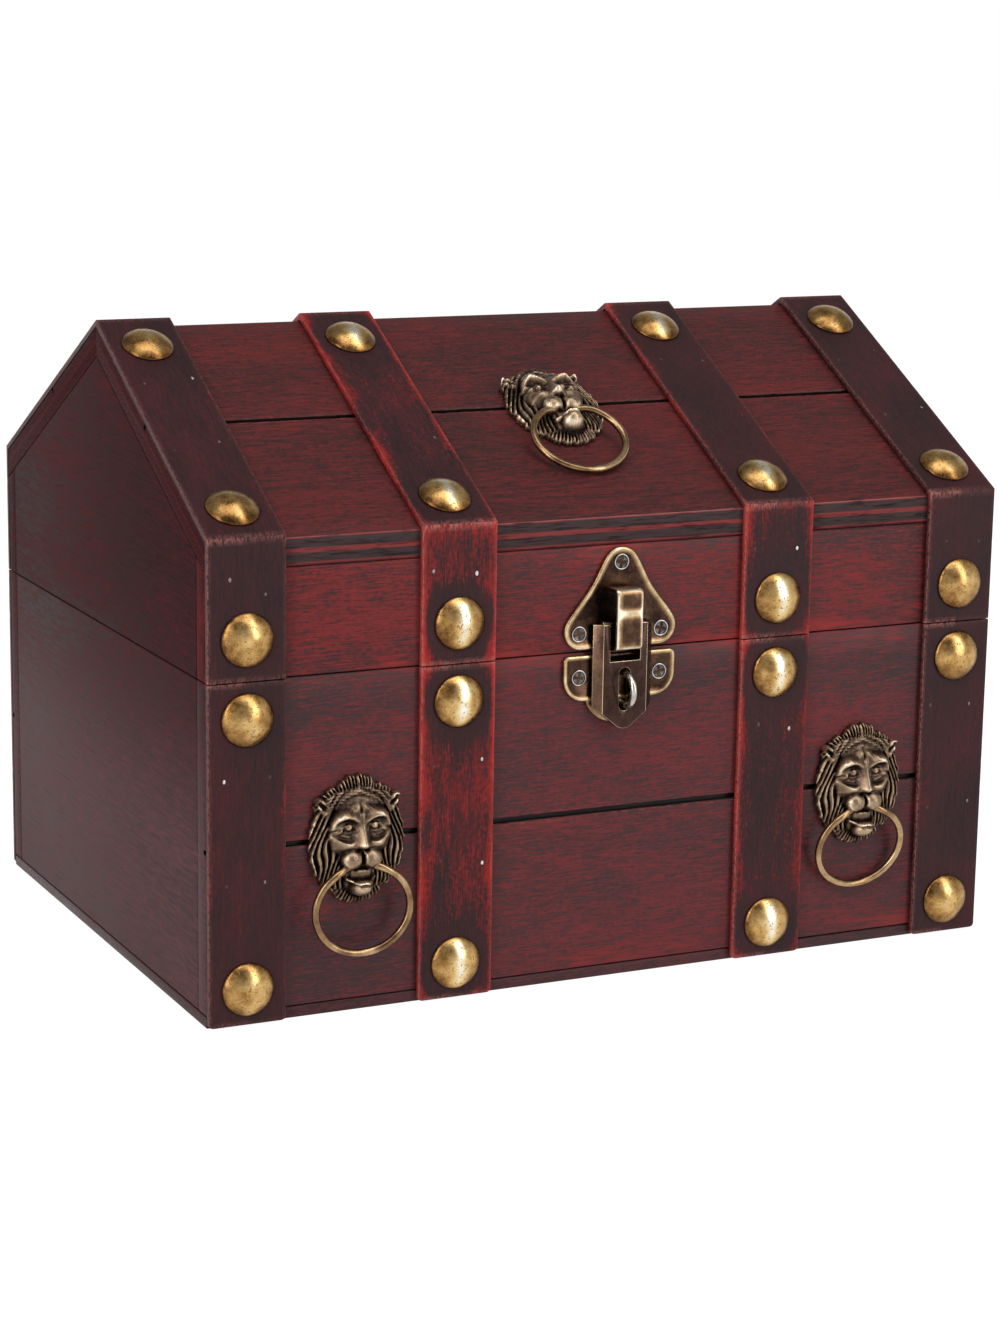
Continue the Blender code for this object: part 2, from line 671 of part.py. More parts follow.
def build_hasp():
    """Top plate with its loop, the flap that swings in it, and the lower plate with its staple."""
    top = front_place(0, LID_BOTTOM)
    low = front_place(0, BASE_TOP)

    lobe_x = HASP_HALF_WIDTH - TOP_PLATE_LOBE
    lobe_y = HASP_SPLIT_GAP + TOP_PLATE_LOBE
    circles = [(lobe_x, lobe_y, TOP_PLATE_LOBE), (0, TOP_PLATE_HEIGHT - TOP_PLATE_APEX, TOP_PLATE_APEX),
               (-lobe_x, lobe_y, TOP_PLATE_LOBE)]
    sheet = outline_mesh("hasp_top_plate", round_hull(circles), SEAT_GAP, PLATE_FACE)
    plate = add_part("hasp_top_plate", sheet, HASP_BRASS, top, LID_PIVOT)
    recess = outline_mesh("top_recess", round_hull(circles, HASP_RIM), PLATE_FACE - HASP_RECESS,
                          PLATE_FACE + HASP_RECESS)
    combine(plate, recess, "DIFFERENCE")
    combine(plate, loop_mesh("hasp_loop"), "UNION")

    wing_x = HASP_HALF_WIDTH - LOWER_WING
    corner_x = HASP_HALF_WIDTH - LOWER_CORNER
    wings = [(wing_x, -HASP_SPLIT_GAP - LOWER_WING, LOWER_WING),
             (corner_x, -HASP_SPLIT_GAP - LOWER_CORNER, LOWER_CORNER),
             (-corner_x, -HASP_SPLIT_GAP - LOWER_CORNER, LOWER_CORNER),
             (-wing_x, -HASP_SPLIT_GAP - LOWER_WING, LOWER_WING)]
    lobe = (0, LOWER_LOBE - HASP_SPLIT_GAP - LOWER_PLATE_HEIGHT)
    sheet = outline_mesh("hasp_base_plate", round_hull(wings), SEAT_GAP, PLATE_FACE)
    plate = add_part("hasp_base_plate", sheet, HASP_BRASS, low)
    disc = Matrix.Translation((*lobe, 0))
    combine(plate, rod_mesh("lower_lobe", disc, LOWER_LOBE, SEAT_GAP, PLATE_FACE, 3 * ARC_STEPS), "UNION")
    recess = outline_mesh("lower_recess", round_hull(wings, HASP_RIM), PLATE_FACE - HASP_RECESS,
                          PLATE_FACE + HASP_RECESS)
    combine(plate, recess, "DIFFERENCE")
    feet = bmesh.new()
    for side in (-1, 1):
        foot = Matrix.Translation((0, STAPLE_Z - BASE_TOP + side * STAPLE_RADIUS, 0))
        add_rod(feet, foot, STAPLE_WIRE + RUNNING_GAP, 0, PLATE_FACE + SEAT_GAP, HOLE_SIDES)
    combine(plate, finish_mesh("staple_feet", feet), "DIFFERENCE")

    add_part("hasp_staple", staple_curve("hasp_staple"), HASP_BRASS, front_place(0, STAPLE_Z))
    build_flap()


def loop_mesh(name):
    """A band pressed out of the top plate, closed at both ends, that holds the flap's bar."""
    root = SEAT_GAP + HASP_PLATE / 4
    low = HASP_SPLIT_GAP
    high = low + LOOP_RISE
    out = SEAT_GAP + LOOP_REACH
    outline = [(low, root)]
    outline += arc((low + LOOP_BEND, out - LOOP_BEND), LOOP_BEND, math.pi, math.pi / 2, 3)
    outline += arc((high - LOOP_BEND, out - LOOP_BEND), LOOP_BEND, math.pi / 2, 0, 3)
    outline += [(high, root), (high - LOOP_BAND, root), (high - LOOP_BAND, out - LOOP_BAND),
                (low + LOOP_BAND, out - LOOP_BAND), (low + LOOP_BAND, root)]
    return side_mesh(name, outline, -LOOP_WIDTH / 2, LOOP_WIDTH / 2)


def staple_curve(name):
    """A bent wire eye for a padlock, both feet in the lower plate."""
    out = FLAP_BACK + FLAP_THICK + STAPLE_PROUD - STAPLE_WIRE
    bend = out - STAPLE_RADIUS
    points = [(-STAPLE_RADIUS, SEAT_GAP)]
    points += arc((0, bend), STAPLE_RADIUS, math.pi, 0, 2 * ARC_STEPS) + [(STAPLE_RADIUS, SEAT_GAP)]
    wire = bpy.data.curves.new(name, "CURVE")
    wire.dimensions = "3D"
    wire.bevel_depth = STAPLE_WIRE
    wire.bevel_resolution = 2
    wire.use_fill_caps = True
    line = wire.splines.new("POLY")
    line.points.add(len(points) - 1)
    for point, (up, reach) in zip(line.points, points):
        point.co = (0, up, reach, 1)
    return wire


def build_flap():
    """A cast flap with bevelled sides: window for the loop, slot for the staple, bar on the axis."""
    axis = front_place(0, FLAP_AXIS_Z) @ Matrix.Translation((0, 0, FLAP_AXIS_OUT))
    half = FLAP_WIDTH / 2
    thick = FLAP_THICK / 2
    tip = FLAP_AXIS_Z - BASE_TOP + FLAP_TIP_DROP
    shoulder = FLAP_AXIS_Z - BASE_TOP + FLAP_SHOULDER_DROP
    edge = thick - FLAP_CHAMFER_DEPTH
    section = [(-half, -thick), (half, -thick), (half, edge), (half - FLAP_CHAMFER, thick),
               (FLAP_CHAMFER - half, thick), (-half, edge)]
    mesh = outline_mesh("hasp_flap", section, -thick / 4, tip + FLAP_THICK)
    mesh.transform(Matrix.Rotation(math.pi / 2, 4, "X"))
    flap = add_part("hasp_flap", mesh, HASP_BRASS, axis, LID_PIVOT)

    wide = FLAP_TIP_RADIUS / 4
    blade = [(0, FLAP_TIP_RADIUS - tip, FLAP_TIP_RADIUS), (half, -shoulder, wide), (half, FLAP_THICK, wide),
             (-half, FLAP_THICK, wide), (-half, -shoulder, wide)]
    combine(flap, outline_mesh("flap_blade", round_hull(blade), -FLAP_THICK, FLAP_THICK), "INTERSECT")

    sweep = math.hypot(LOOP_REACH + SEAT_GAP - FLAP_AXIS_OUT, FLAP_PIVOT_RISE - HASP_SPLIT_GAP)
    window = LOOP_WIDTH / 2 + WINDOW_CLEARANCE
    bottom = sweep + thick + WINDOW_SWING_GAP
    opening = box_mesh("flap_window", (-window, -bottom, -FLAP_THICK), (window, FLAP_THICK, FLAP_THICK))
    combine(flap, opening, "DIFFERENCE")

    slot = STAPLE_WIRE + SLOT_CLEARANCE
    middle = FLAP_AXIS_Z - STAPLE_Z
    ends = [(0, -middle + STAPLE_RADIUS, slot), (0, -middle - STAPLE_RADIUS, slot)]
    combine(flap, outline_mesh("flap_slot", round_hull(ends), -FLAP_THICK, FLAP_THICK), "DIFFERENCE")

    bar = Matrix.Rotation(math.pi / 2, 4, "Y")
    reach = half - FLAP_CHAMFER
    combine(flap, rod_mesh("flap_bar", bar, FLAP_BAR, -reach, reach, KNUCKLE_SIDES), "UNION")


def build_hinges():
    """Two stop hinges on the back: leaves, a shared barrel, a pin, and the tab that stops the lid."""
    axis = Matrix.Translation((0, HINGE_AXIS_Y, HINGE_AXIS_Z))
    along = axis @ Matrix.Rotation(math.pi / 2, 4, "Y")
    back = FACE + SEAT_GAP
    clear = HINGE_KNUCKLE + RUNNING_GAP
    half = HINGE_WIDTH / 2
    middle = HINGE_MIDDLE / 2
    gap = RUNNING_GAP
    spans = {"lid": [(-middle, middle)], "base": [(-half, -middle - gap), (middle + gap, half)]}
    for side, x in (("left", -HINGE_X), ("right", HINGE_X)):
        shift = Matrix.Translation((x, 0, 0))
        for leaf, knuckles in spans.items():
            up = 1 if leaf == "lid" else -1
            name = f"hinge_{side}_{leaf}_leaf"
            sheet = sorted((HINGE_AXIS_Z + up * clear, HINGE_AXIS_Z + up * HINGE_LEAF_HEIGHT))
            plate = box_mesh(name, (-half, back, sheet[0]), (half, back + HINGE_LEAF, sheet[1]))
            part = add_part(name, plate, HINGE_BRASS, shift, LID_PIVOT if leaf == "lid" else None)
            root = sorted((HINGE_AXIS_Z + up * HINGE_ROOT, HINGE_AXIS_Z + up * (clear + HINGE_LEAF)))
            for low, high in knuckles:
                tongue = box_mesh("tongue", (low, back, root[0]), (high, back + HINGE_LEAF, root[1]))
                combine(part, tongue, "UNION")
                knuckle = rod_mesh("knuckle", along, HINGE_KNUCKLE, low, high, KNUCKLE_SIDES)
                combine(part, knuckle, "UNION")
            if leaf == "lid":
                combine(part, stop_tab_mesh(back, middle), "UNION")
            bore = rod_mesh("bore", along, HINGE_PIN_RADIUS + RUNNING_GAP, -half - gap, half + gap,
                            KNUCKLE_SIDES)
            combine(part, bore, "DIFFERENCE")
        end = half + gap
        head = end + HINGE_PIN_HEAD_LENGTH
        profile = [(0, head), (HINGE_PIN_HEAD, head), (HINGE_PIN_HEAD, end), (HINGE_PIN_RADIUS, end),
                   (HINGE_PIN_RADIUS, -end), (HINGE_PIN_HEAD, -end), (HINGE_PIN_HEAD, -head), (0, -head)]
        name = f"hinge_{side}_pin"
        add_part(name, turned_mesh(name, profile, HINGE_PIN_SEGMENTS), HINGE_BRASS, shift @ along)


def stop_tab_mesh(back, middle):
    """The tab that meets the base leaf when the lid is fully open, drawn there and turned shut."""
    face = back + HINGE_LEAF + RUNNING_GAP
    top = HINGE_AXIS_Z - HINGE_ROOT
    bottom = HINGE_AXIS_Z - HINGE_KNUCKLE - STOP_TAB_LENGTH
    tab = box_mesh("stop_tab", (-middle, face, bottom), (middle, face + HINGE_LEAF, top))
    axis = Matrix.Translation((0, HINGE_AXIS_Y, HINGE_AXIS_Z))
    tab.transform(axis @ Matrix.Rotation(LID_OPENING, 4, "X") @ axis.inverted())
    return tab


build_base()
build_lid()
build_straps()
build_studs()
build_masks()
build_hasp()
build_hinges()
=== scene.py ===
"""Looks of a small gabled treasure chest: stained boards, rubbed strips, brass nails, lion pulls, a hasp."""

import math
import random

import bmesh
import bpy
import numpy as np
from mathutils import Matrix, Vector, noise


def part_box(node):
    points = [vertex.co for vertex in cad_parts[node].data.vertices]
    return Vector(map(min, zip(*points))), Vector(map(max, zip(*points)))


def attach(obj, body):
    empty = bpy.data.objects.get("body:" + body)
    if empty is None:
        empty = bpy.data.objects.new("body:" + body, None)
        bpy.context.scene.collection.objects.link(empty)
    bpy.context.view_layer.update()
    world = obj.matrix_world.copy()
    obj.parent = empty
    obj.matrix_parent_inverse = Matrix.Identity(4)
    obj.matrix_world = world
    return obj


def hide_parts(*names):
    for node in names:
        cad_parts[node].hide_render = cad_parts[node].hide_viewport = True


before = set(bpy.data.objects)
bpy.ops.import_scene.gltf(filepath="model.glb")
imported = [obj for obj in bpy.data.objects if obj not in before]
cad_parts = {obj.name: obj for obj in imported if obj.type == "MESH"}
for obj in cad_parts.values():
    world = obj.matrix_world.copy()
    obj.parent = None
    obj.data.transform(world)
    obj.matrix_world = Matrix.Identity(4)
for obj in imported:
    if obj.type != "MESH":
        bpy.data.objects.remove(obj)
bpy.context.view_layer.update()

MM = 0.001
MERGE = 0.002 * MM

# Case
WIDTH = 229.0 * MM
FACE = 81.5 * MM
BASE_TOP = 88.9 * MM
LID_BOTTOM = 89.2 * MM
EAVE_HEIGHT = 124.3 * MM
RIDGE_HEIGHT = 168.25 * MM
WALL = 6.0 * MM
SLOPE_BOARD = 6.5 * MM
BOARD_FOOT = 3.3 * MM
BOARD_ROUND = 0.4 * MM
PANEL_ROUND = 0.35 * MM
SEAT_GAP = 0.3 * MM
HALF = WIDTH / 2
SLOPE = math.atan2(RIDGE_HEIGHT - EAVE_HEIGHT, FACE)
SLOPE_RUN = math.hypot(RIDGE_HEIGHT - EAVE_HEIGHT, FACE)
SLOPE_DROP = SLOPE_BOARD / math.cos(SLOPE)

# Saw kerfs, the reach of rubbed edges, and the heights between which the end panels darken upwards, as a painted
# sheen of the floor fades out
KERF_WIDTH = 1.3 * MM
KERF_DEPTH = 1.6 * MM
BASE_KERF_HEIGHT = 45.9 * MM
SLOPE_KERF_RUN = 48.8 * MM
KERF_LIP = 0.3 * MM
KERF_CHIP = 0.35 * MM
RUB_REACH = 8.0 * MM
SHEEN_FADE_LOW = 36.0 * MM
SHEEN_FADE_HIGH = 90.0 * MM

# Strips
STRAP_WIDTH = 20.7 * MM
STRAP_THICK = 1.6 * MM
STRAP_FOOT = 0.4 * MM
STRAP_EDGE = 0.3 * MM
STRAP_CORNER = 1.1 * MM
STRAP_NICK = 0.2 * MM
STRAP_FOLD_GAP = 0.03 * MM
STRAP_FOLD_REACH = 3.0 * MM
STRAP_TOP = SEAT_GAP + STRAP_THICK
EAVE_MITRE = math.tan((math.pi / 2 - SLOPE) / 2)
RIDGE_MITRE = math.tan(SLOPE)
OUTER_STRAP_X = (WIDTH - STRAP_WIDTH) / 2
INNER_STRAP_X = OUTER_STRAP_X - 57.55 * MM
STRAP_PLACES = (-OUTER_STRAP_X, -INNER_STRAP_X, INNER_STRAP_X, OUTER_STRAP_X)

# Domed nails
STUD_RADIUS = 6.9 * MM
STUD_RISE = 3.3 * MM
STUD_RIM = 0.5 * MM
STUD_DENT = 0.05 * MM
STUD_SEAT = STRAP_TOP + 0.05 * MM
STUD_BANDS = 14
BASE_STUDS = {"base_low": 9.8 * MM, "base_high": 79.5 * MM}
LID_STUD = LID_BOTTOM + 10.5 * MM
ROOF_STUDS = {"roof_low": 10.2 * MM, "roof_high": SLOPE_RUN - 11.8 * MM}

# Lion masks and rings
MASK_HALF_WIDTH = 13.2 * MM
MASK_HALF_HEIGHT = 16.7 * MM
MASK_ASPECT = MASK_HALF_HEIGHT / MASK_HALF_WIDTH
MASK_X = OUTER_STRAP_X - 29.75 * MM
MASK_HEIGHT = 45.9 * MM
MASK_SLOPE_RUN = 46.8 * MM
MASK_GRID = 200
MOUTH_DROP = 6.4 * MM
RING_AXIS_OUT = 5.8 * MM
RING_HALF_WIDTH = 13.0 * MM
RING_HALF_HEIGHT = 11.45 * MM
RING_WIRE = 1.0 * MM
RING_DEPTH = RING_HALF_HEIGHT * math.cos(math.asin(3.4 * MM / RING_HALF_WIDTH))
RING_END_TURN = math.asin(3.3 * MM / RING_HALF_WIDTH)
RING_TUCK = 1.3 * MM
RING_LEAN = math.asin((RING_AXIS_OUT - RING_WIRE - SEAT_GAP) / (RING_DEPTH + RING_HALF_HEIGHT))
RING_LEANS = {"left": 0.0, "right": RING_LEAN, "lid": RING_LEAN}

# Hasp
PLATE_FACE = 1.3 * MM
HASP_WAIST = 0.9 * MM
HASP_RECESS = 0.4 * MM
TOP_PLATE_DISCS = ((11.4, 5.5, 4.9), (0.0, 22.0, 5.2), (-11.4, 5.5, 4.9))
WING_DISCS = ((10.2, -6.7, 6.1), (14.7, -2.2, 1.6), (-14.7, -2.2, 1.6), (-10.2, -6.7, 6.1))
LOBE_DISCS = ((1.3, -10.1, 8.8), (-1.3, -10.1, 8.8))
# Where the flap covers the plates: cuts, and the area painted dark as the flap's shade
FLAP_SHADE_CUTS = (-8.5 * MM, -6.5 * MM, 6.5 * MM, 8.5 * MM)
FLAP_SHADE_AREA = (7.0 * MM, 4.0 * MM)
LOOP_WIDTH = 7.5 * MM
LOOP_BAND = 1.1 * MM
LOOP_REACH = 6.5 * MM
LOOP_LOW = 0.6 * MM
LOOP_RISE = 16.2 * MM
LOOP_BEND = 1.4 * MM
FLAP_SLOT = (2.5 * MM, BASE_TOP - 18.0 * MM, BASE_TOP - 5.0 * MM)
STAPLE_LIFT = 1.9 * MM
STAPLE_HEIGHT = BASE_TOP - 11.6 * MM + STAPLE_LIFT
STAPLE_RADIUS = 4.1 * MM
STAPLE_WIRE = 0.9 * MM
STAPLE_OUT = 10.2 * MM
SCREW_RADIUS = 2.15 * MM
SCREW_DEPTH = 0.5 * MM
LID_SCREWS = ((0.0, 112.4), (-12.0, 94.0), (12.0, 94.0))
BASE_SCREWS = ((-11.8, 82.4), (11.8, 82.4))

# Strip pins, and the seed for how screws and pins vary
BRAD_RADIUS = 0.42 * MM
BRAD_DEPTH = 0.3 * MM
BRAD_APART = 6.0
LOOK_SEED = 11

# Hinges
HINGE_SCREW_RISE = 9.0 * MM
HINGE_SCREW_ACROSS = 8.0 * MM
HINGE_ROUND = 0.18 * MM
PIN_RADIUS = 0.9 * MM
PIN_HEAD_RADIUS = 1.6 * MM
PIN_HEAD = 0.6 * MM
PIN_CHAMFER = 0.3 * MM

# Camera and floor
CAMERA_AZIMUTH = -25.722
CAMERA_ELEVATION = 12.35
CAMERA_ROLL = 0.903
CAMERA_TARGET = Vector((5.14, 0.0, 67.28)) * MM
CAMERA_DISTANCE = 898.26 * MM
CAMERA_LENS = 84.75
FLOOR_HALF = 6.0
FLOOR_DROP = 0.25 * MM
LAMP_TARGET = Vector((0, 0, 80.0)) * MM


def front_place(x, height):
    """Local X right, Y up, Z out of the front face."""
    turn = Matrix(((1, 0, 0, 0), (0, 0, -1, 0), (0, 1, 0, 0), (0, 0, 0, 1)))
    return Matrix.Translation((x, -FACE, height)) @ turn


def slope_place(x, run):
    """Local X right, Y up the front slope, Z out of it."""
    eave = Vector((x, -FACE, EAVE_HEIGHT))
    along = Vector((0, math.cos(SLOPE), math.sin(SLOPE)))
    return Matrix.Translation(eave + along * run) @ Matrix.Rotation(SLOPE, 4, "X")


TURN_BACK = Matrix.Rotation(math.pi, 4, "Z")


def bell(distance, width):
    """One in the middle, falling softly to nothing beyond two widths."""
    return np.exp(-(distance / width) ** 2)


# Finishes


def add(tree, kind, inputs=None, **settings):
    """Add one shader node; an input may be a plain value or another node's socket."""
    node = tree.nodes.new(kind)
    for key, value in settings.items():
        setattr(node, key, value)
    for key, value in (inputs or {}).items():
        if isinstance(value, bpy.types.NodeSocket):
            tree.links.new(value, node.inputs[key])
        else:
            node.inputs[key].default_value = value
    return node


def maths(tree, operation, first, second=0.0):
    """One sum on values or sockets."""
    return add(tree, "ShaderNodeMath", {0: first, 1: second}, operation=operation).outputs[0]


def step_between(tree, value, low, high, out_low=0.0, out_high=1.0):
    """A smooth step from one level to another as a value goes from low to high."""
    node = add(tree, "ShaderNodeMapRange", {0: value, 1: low, 2: high, 3: out_low, 4: out_high},
               interpolation_type="SMOOTHSTEP")
    return node.outputs[0]


def blend(tree, share, first, second):
    """Mix from one colour to another; a plain colour is three numbers."""
    inputs = {0: share, 6: first, 7: second}
    for key in (6, 7):
        if isinstance(inputs[key], tuple):
            inputs[key] = (*inputs[key], 1.0)
    return add(tree, "ShaderNodeMix", inputs, data_type="RGBA").outputs[2]


def tones(tree, value, stops):
    """A colour ramp given as (position, colour) stops."""
    node = add(tree, "ShaderNodeValToRGB", {0: value})
    ramp = node.color_ramp
    ramp.elements[0].position = stops[0][0]
    ramp.elements[1].position = stops[-1][0]
    for position, _ in stops[1:-1]:
        ramp.elements.new(position)
    for element, (_, colour) in zip(ramp.elements, stops):
        element.color = (*colour, 1.0)
    return node.outputs[0]


def grain(tree, place, scale, detail=2.0, rough=0.5, offset=0.0):
    """Noise stretched along the axes by a scale of three numbers, in features per metre."""
    moved = add(tree, "ShaderNodeMapping", {"Vector": place, "Location": (offset, offset, offset),
                                            "Scale": scale}).outputs[0]
    return add(tree, "ShaderNodeTexNoise", {"Vector": moved, "Scale": 1.0, "Detail": detail,
                                            "Roughness": rough}).outputs[0]


def painted(tree, name, output="Fac"):
    """An attribute that the mesh carries."""
    return add(tree, "ShaderNodeAttribute", attribute_name=name).outputs[output]


def new_finish(name):
    """A new material, its tree and the place on the object."""
    material = bpy.data.materials.new(name)
    material.use_nodes = True
    return material, material.node_tree, add(material.node_tree, "ShaderNodeTexCoord").outputs["Object"]


def finished(material, colour, rough, height, depth, strength, specular=0.5, metallic=0.0):
    """Join colour, roughness and a relief of some depth to the material's shader."""
    tree = material.node_tree
    shader = tree.nodes["Principled BSDF"]
    shader.inputs["Specular IOR Level"].default_value = specular
    shader.inputs["Metallic"].default_value = metallic
    bump = add(tree, "ShaderNodeBump", {"Height": height, "Distance": depth, "Strength": strength})
    for name, socket in (("Base Color", colour), ("Roughness", rough), ("Normal", bump.outputs[0])):
        tree.links.new(socket, shader.inputs[name])
    return material


GRAIN_DEPTH = 0.07 * MM
CAST_DEPTH = 0.08 * MM
# Black glaze for pores and flecks, also used for painted shade in the kerfs and the darker foot of the strips
GLAZE_AND_SHADE_BLACK = (0.006, 0.004, 0.004)
BARE_WOOD = (0.42, 0.17, 0.145)
CHIPPED_STAIN = (0.2, 0.05, 0.045)


def stretched(axis, along, across):
    """Features per metre along one axis and across it."""
    scale = [across, across, across]
    scale[axis] = along
    return tuple(scale)


def weighted(tree, base, layers):
    """A value pushed up and down by some noises, each about its middle."""
    for speckle, weight in layers:
        base = maths(tree, "ADD", base, maths(tree, "MULTIPLY", maths(tree, "SUBTRACT", speckle, 0.5), weight))
    return base


def board_finish(name, stops, red, axis=0, gloss=0.46, specular=0.22, cloudy=0.6, fine=2400.0, blotchy=1.5,
                 streaky=1.0, sheen_stops=None):
    """Red stain under a dark glaze: soft clouds of both, fine grain lines, and red rubbed through near the edges.

    The grain runs along one axis. Where sheen stops are given, they paint a lighter sheen low down, a painted
    reflection of the floor, and change to the other stops with height. On the long faces a kerf gets chips and
    painted shade.
    """
    material, tree, place = new_finish(name)
    sway = add(tree, "ShaderNodeTexNoise", {"Vector": place, "Scale": 16.0, "Detail": 2.0}).outputs[0]
    bent = add(tree, "ShaderNodeVectorMath", {0: place, 1: maths(tree, "MULTIPLY", sway, 0.009)},
               operation="ADD").outputs[0]
    clouds = grain(tree, bent, stretched(axis, 15.0, 46.0), 3.0, 0.55)
    lines = grain(tree, bent, stretched(axis, 46.0, 1150.0), 3.0, 0.6, 3.1)
    threads = grain(tree, place, stretched(axis, 150.0, fine), 2.0, 0.55, 1.7)
    speck = grain(tree, place, stretched(axis, 700.0, 1500.0), 2.0, 0.6)
    quiet = 0.35 + 0.65 * streaky
    tone = weighted(tree, 0.5, ((clouds, cloudy), (lines, 0.45), (threads, 1.4 * quiet), (speck, 1.0 * quiet)))
    colour = tones(tree, tone, stops)
    # Painted reflection: the panel lighter low down, fading out upwards
    if sheen_stops:
        height = add(tree, "ShaderNodeSeparateXYZ", {0: place}).outputs["Z"]
        colour = blend(tree, step_between(tree, height, SHEEN_FADE_LOW, SHEEN_FADE_HIGH), tones(tree, tone, sheen_stops), colour)
    patches = grain(tree, bent, stretched(axis, 24.0, 90.0), 3.0, 0.6, 5.3)
    rub = weighted(tree, maths(tree, "MULTIPLY", painted(tree, "rub"), 0.26),
                   ((patches, blotchy), (lines, 0.6 * streaky), (threads, 0.4 * streaky)))
    colour = blend(tree, step_between(tree, rub, 0.24, 0.7, 0.0, 0.8), colour, red)
    pores = step_between(tree, grain(tree, place, stretched(axis, 75.0, 1900.0), 3.0, 0.6, 8.8), 0.58, 0.7)
    colour = blend(tree, maths(tree, "MULTIPLY", pores, 0.42), colour, GLAZE_AND_SHADE_BLACK)
    if axis == 0:  # the paint of a kerf belongs to the long faces
        crumbs = grain(tree, place, (500.0, 1500.0, 1500.0), 2.0)
        chips = maths(tree, "MULTIPLY", painted(tree, "chip"), step_between(tree, crumbs, 0.46, 0.66))
        colour = blend(tree, chips, colour, CHIPPED_STAIN)
        # Painted shade: the inside of the kerf darkened towards its bottom
        colour = blend(tree, painted(tree, "kerf_shade"), colour, GLAZE_AND_SHADE_BLACK)
    rough = step_between(tree, tone, 0.25, 0.75, gloss - 0.08, gloss + 0.1)
    height = weighted(tree, threads, ((lines, 1.1), (speck, 0.5)))
    return finished(material, colour, rough, height, GRAIN_DEPTH, 0.55, specular)


CHERRY = ((0.25, (0.034, 0.015, 0.017)), (0.42, (0.06, 0.0155, 0.0175)), (0.56, (0.088, 0.016, 0.018)),
          (0.75, (0.135, 0.018, 0.02)))
LID_CHERRY = ((0.25, (0.038, 0.013, 0.014)), (0.42, (0.073, 0.0135, 0.0145)), (0.56, (0.11, 0.014, 0.015)),
              (0.75, (0.17, 0.016, 0.017)))
ROOF_CHERRY = ((0.25, (0.032, 0.011, 0.011)), (0.42, (0.057, 0.0115, 0.0115)), (0.56, (0.081, 0.012, 0.012)),
               (0.75, (0.12, 0.013, 0.013)))
# Lighter stops for the low part of the end panels: a painted sheen of the floor
FLOOR_SHEEN_UMBER = ((0.25, (0.048, 0.025, 0.027)), (0.5, (0.094, 0.044, 0.047)), (0.75, (0.145, 0.062, 0.065)))
PLANK_RED = ((0.25, (0.04, 0.011, 0.013)), (0.5, (0.08, 0.015, 0.017)), (0.75, (0.14, 0.021, 0.023)))
DARK_UMBER = ((0.25, (0.026, 0.01, 0.0115)), (0.5, (0.047, 0.0145, 0.016)), (0.75, (0.085, 0.0175, 0.0195)))
RUBBED_RED = (0.28, 0.021, 0.019)

BASE_BOARD = board_finish("base_board_stain", CHERRY, (0.21, 0.02, 0.02), cloudy=0.95, blotchy=1.8)
LID_BOARD = board_finish("lid_board_stain", LID_CHERRY, RUBBED_RED, cloudy=1.15, blotchy=2.2)
ROOF_BOARD = board_finish("roof_board_stain", ROOF_CHERRY, (0.16, 0.015, 0.014), cloudy=0.75)
END_BOARD = board_finish("end_panel_stain", DARK_UMBER, (0.12, 0.026, 0.027), axis=1, gloss=0.58, specular=0.06,
                         cloudy=0.5, fine=1000.0, streaky=0.3, sheen_stops=FLOOR_SHEEN_UMBER)
GABLE_BOARD = board_finish("gable_panel_stain", DARK_UMBER, (0.14, 0.017, 0.017), axis=1, gloss=0.62, specular=0.03,
                           cloudy=0.7, fine=1000.0, streaky=0.3)
PLANK_END = board_finish("plank_end_stain", PLANK_RED, (0.2, 0.024, 0.026), axis=2, gloss=0.62, specular=0.02,
                         fine=1000.0)
FOOT_BOARD = board_finish("bottom_board_stain", DARK_UMBER, (0.1, 0.02, 0.02))


def ply_finish(name, dark, red, pale, torn=0.15, specular=0.08):
    """The sawn edge of the sloping boards: dark plies with thin red ones between."""
    material, tree, place = new_finish(name)
    wobble = grain(tree, place, (40.0, 300.0, 300.0), 3.0)
    depth = maths(tree, "ADD", painted(tree, "ply"), maths(tree, "MULTIPLY", wobble, 0.05))
    colour = tones(tree, depth, ((0.03, pale), (0.07, red), (0.1, dark),
                                 (0.4, dark), (0.44, red), (0.56, red), (0.6, dark), (0.88, dark),
                                 (0.93, red), (1.0, (0.05, 0.015, 0.016))))
    fleck = grain(tree, place, (140.0, 1600.0, 1600.0), 3.0, 0.6)
    colour = blend(tree, step_between(tree, fleck, 0.45, 0.75, 0.0, 0.8), colour, GLAZE_AND_SHADE_BLACK)
    return finished(material, colour, step_between(tree, fleck, 0.3, 0.7, 0.5, 0.75), fleck, torn * MM, 1.0, specular)


PLY_EDGE = ply_finish("ply_edge", (0.05, 0.031, 0.032), (0.2, 0.036, 0.036), (0.3, 0.13, 0.12))
PLY_END = ply_finish("ply_end", (0.047, 0.012, 0.0135), (0.085, 0.013, 0.014), (0.16, 0.05, 0.048), 0.05, 0.02)


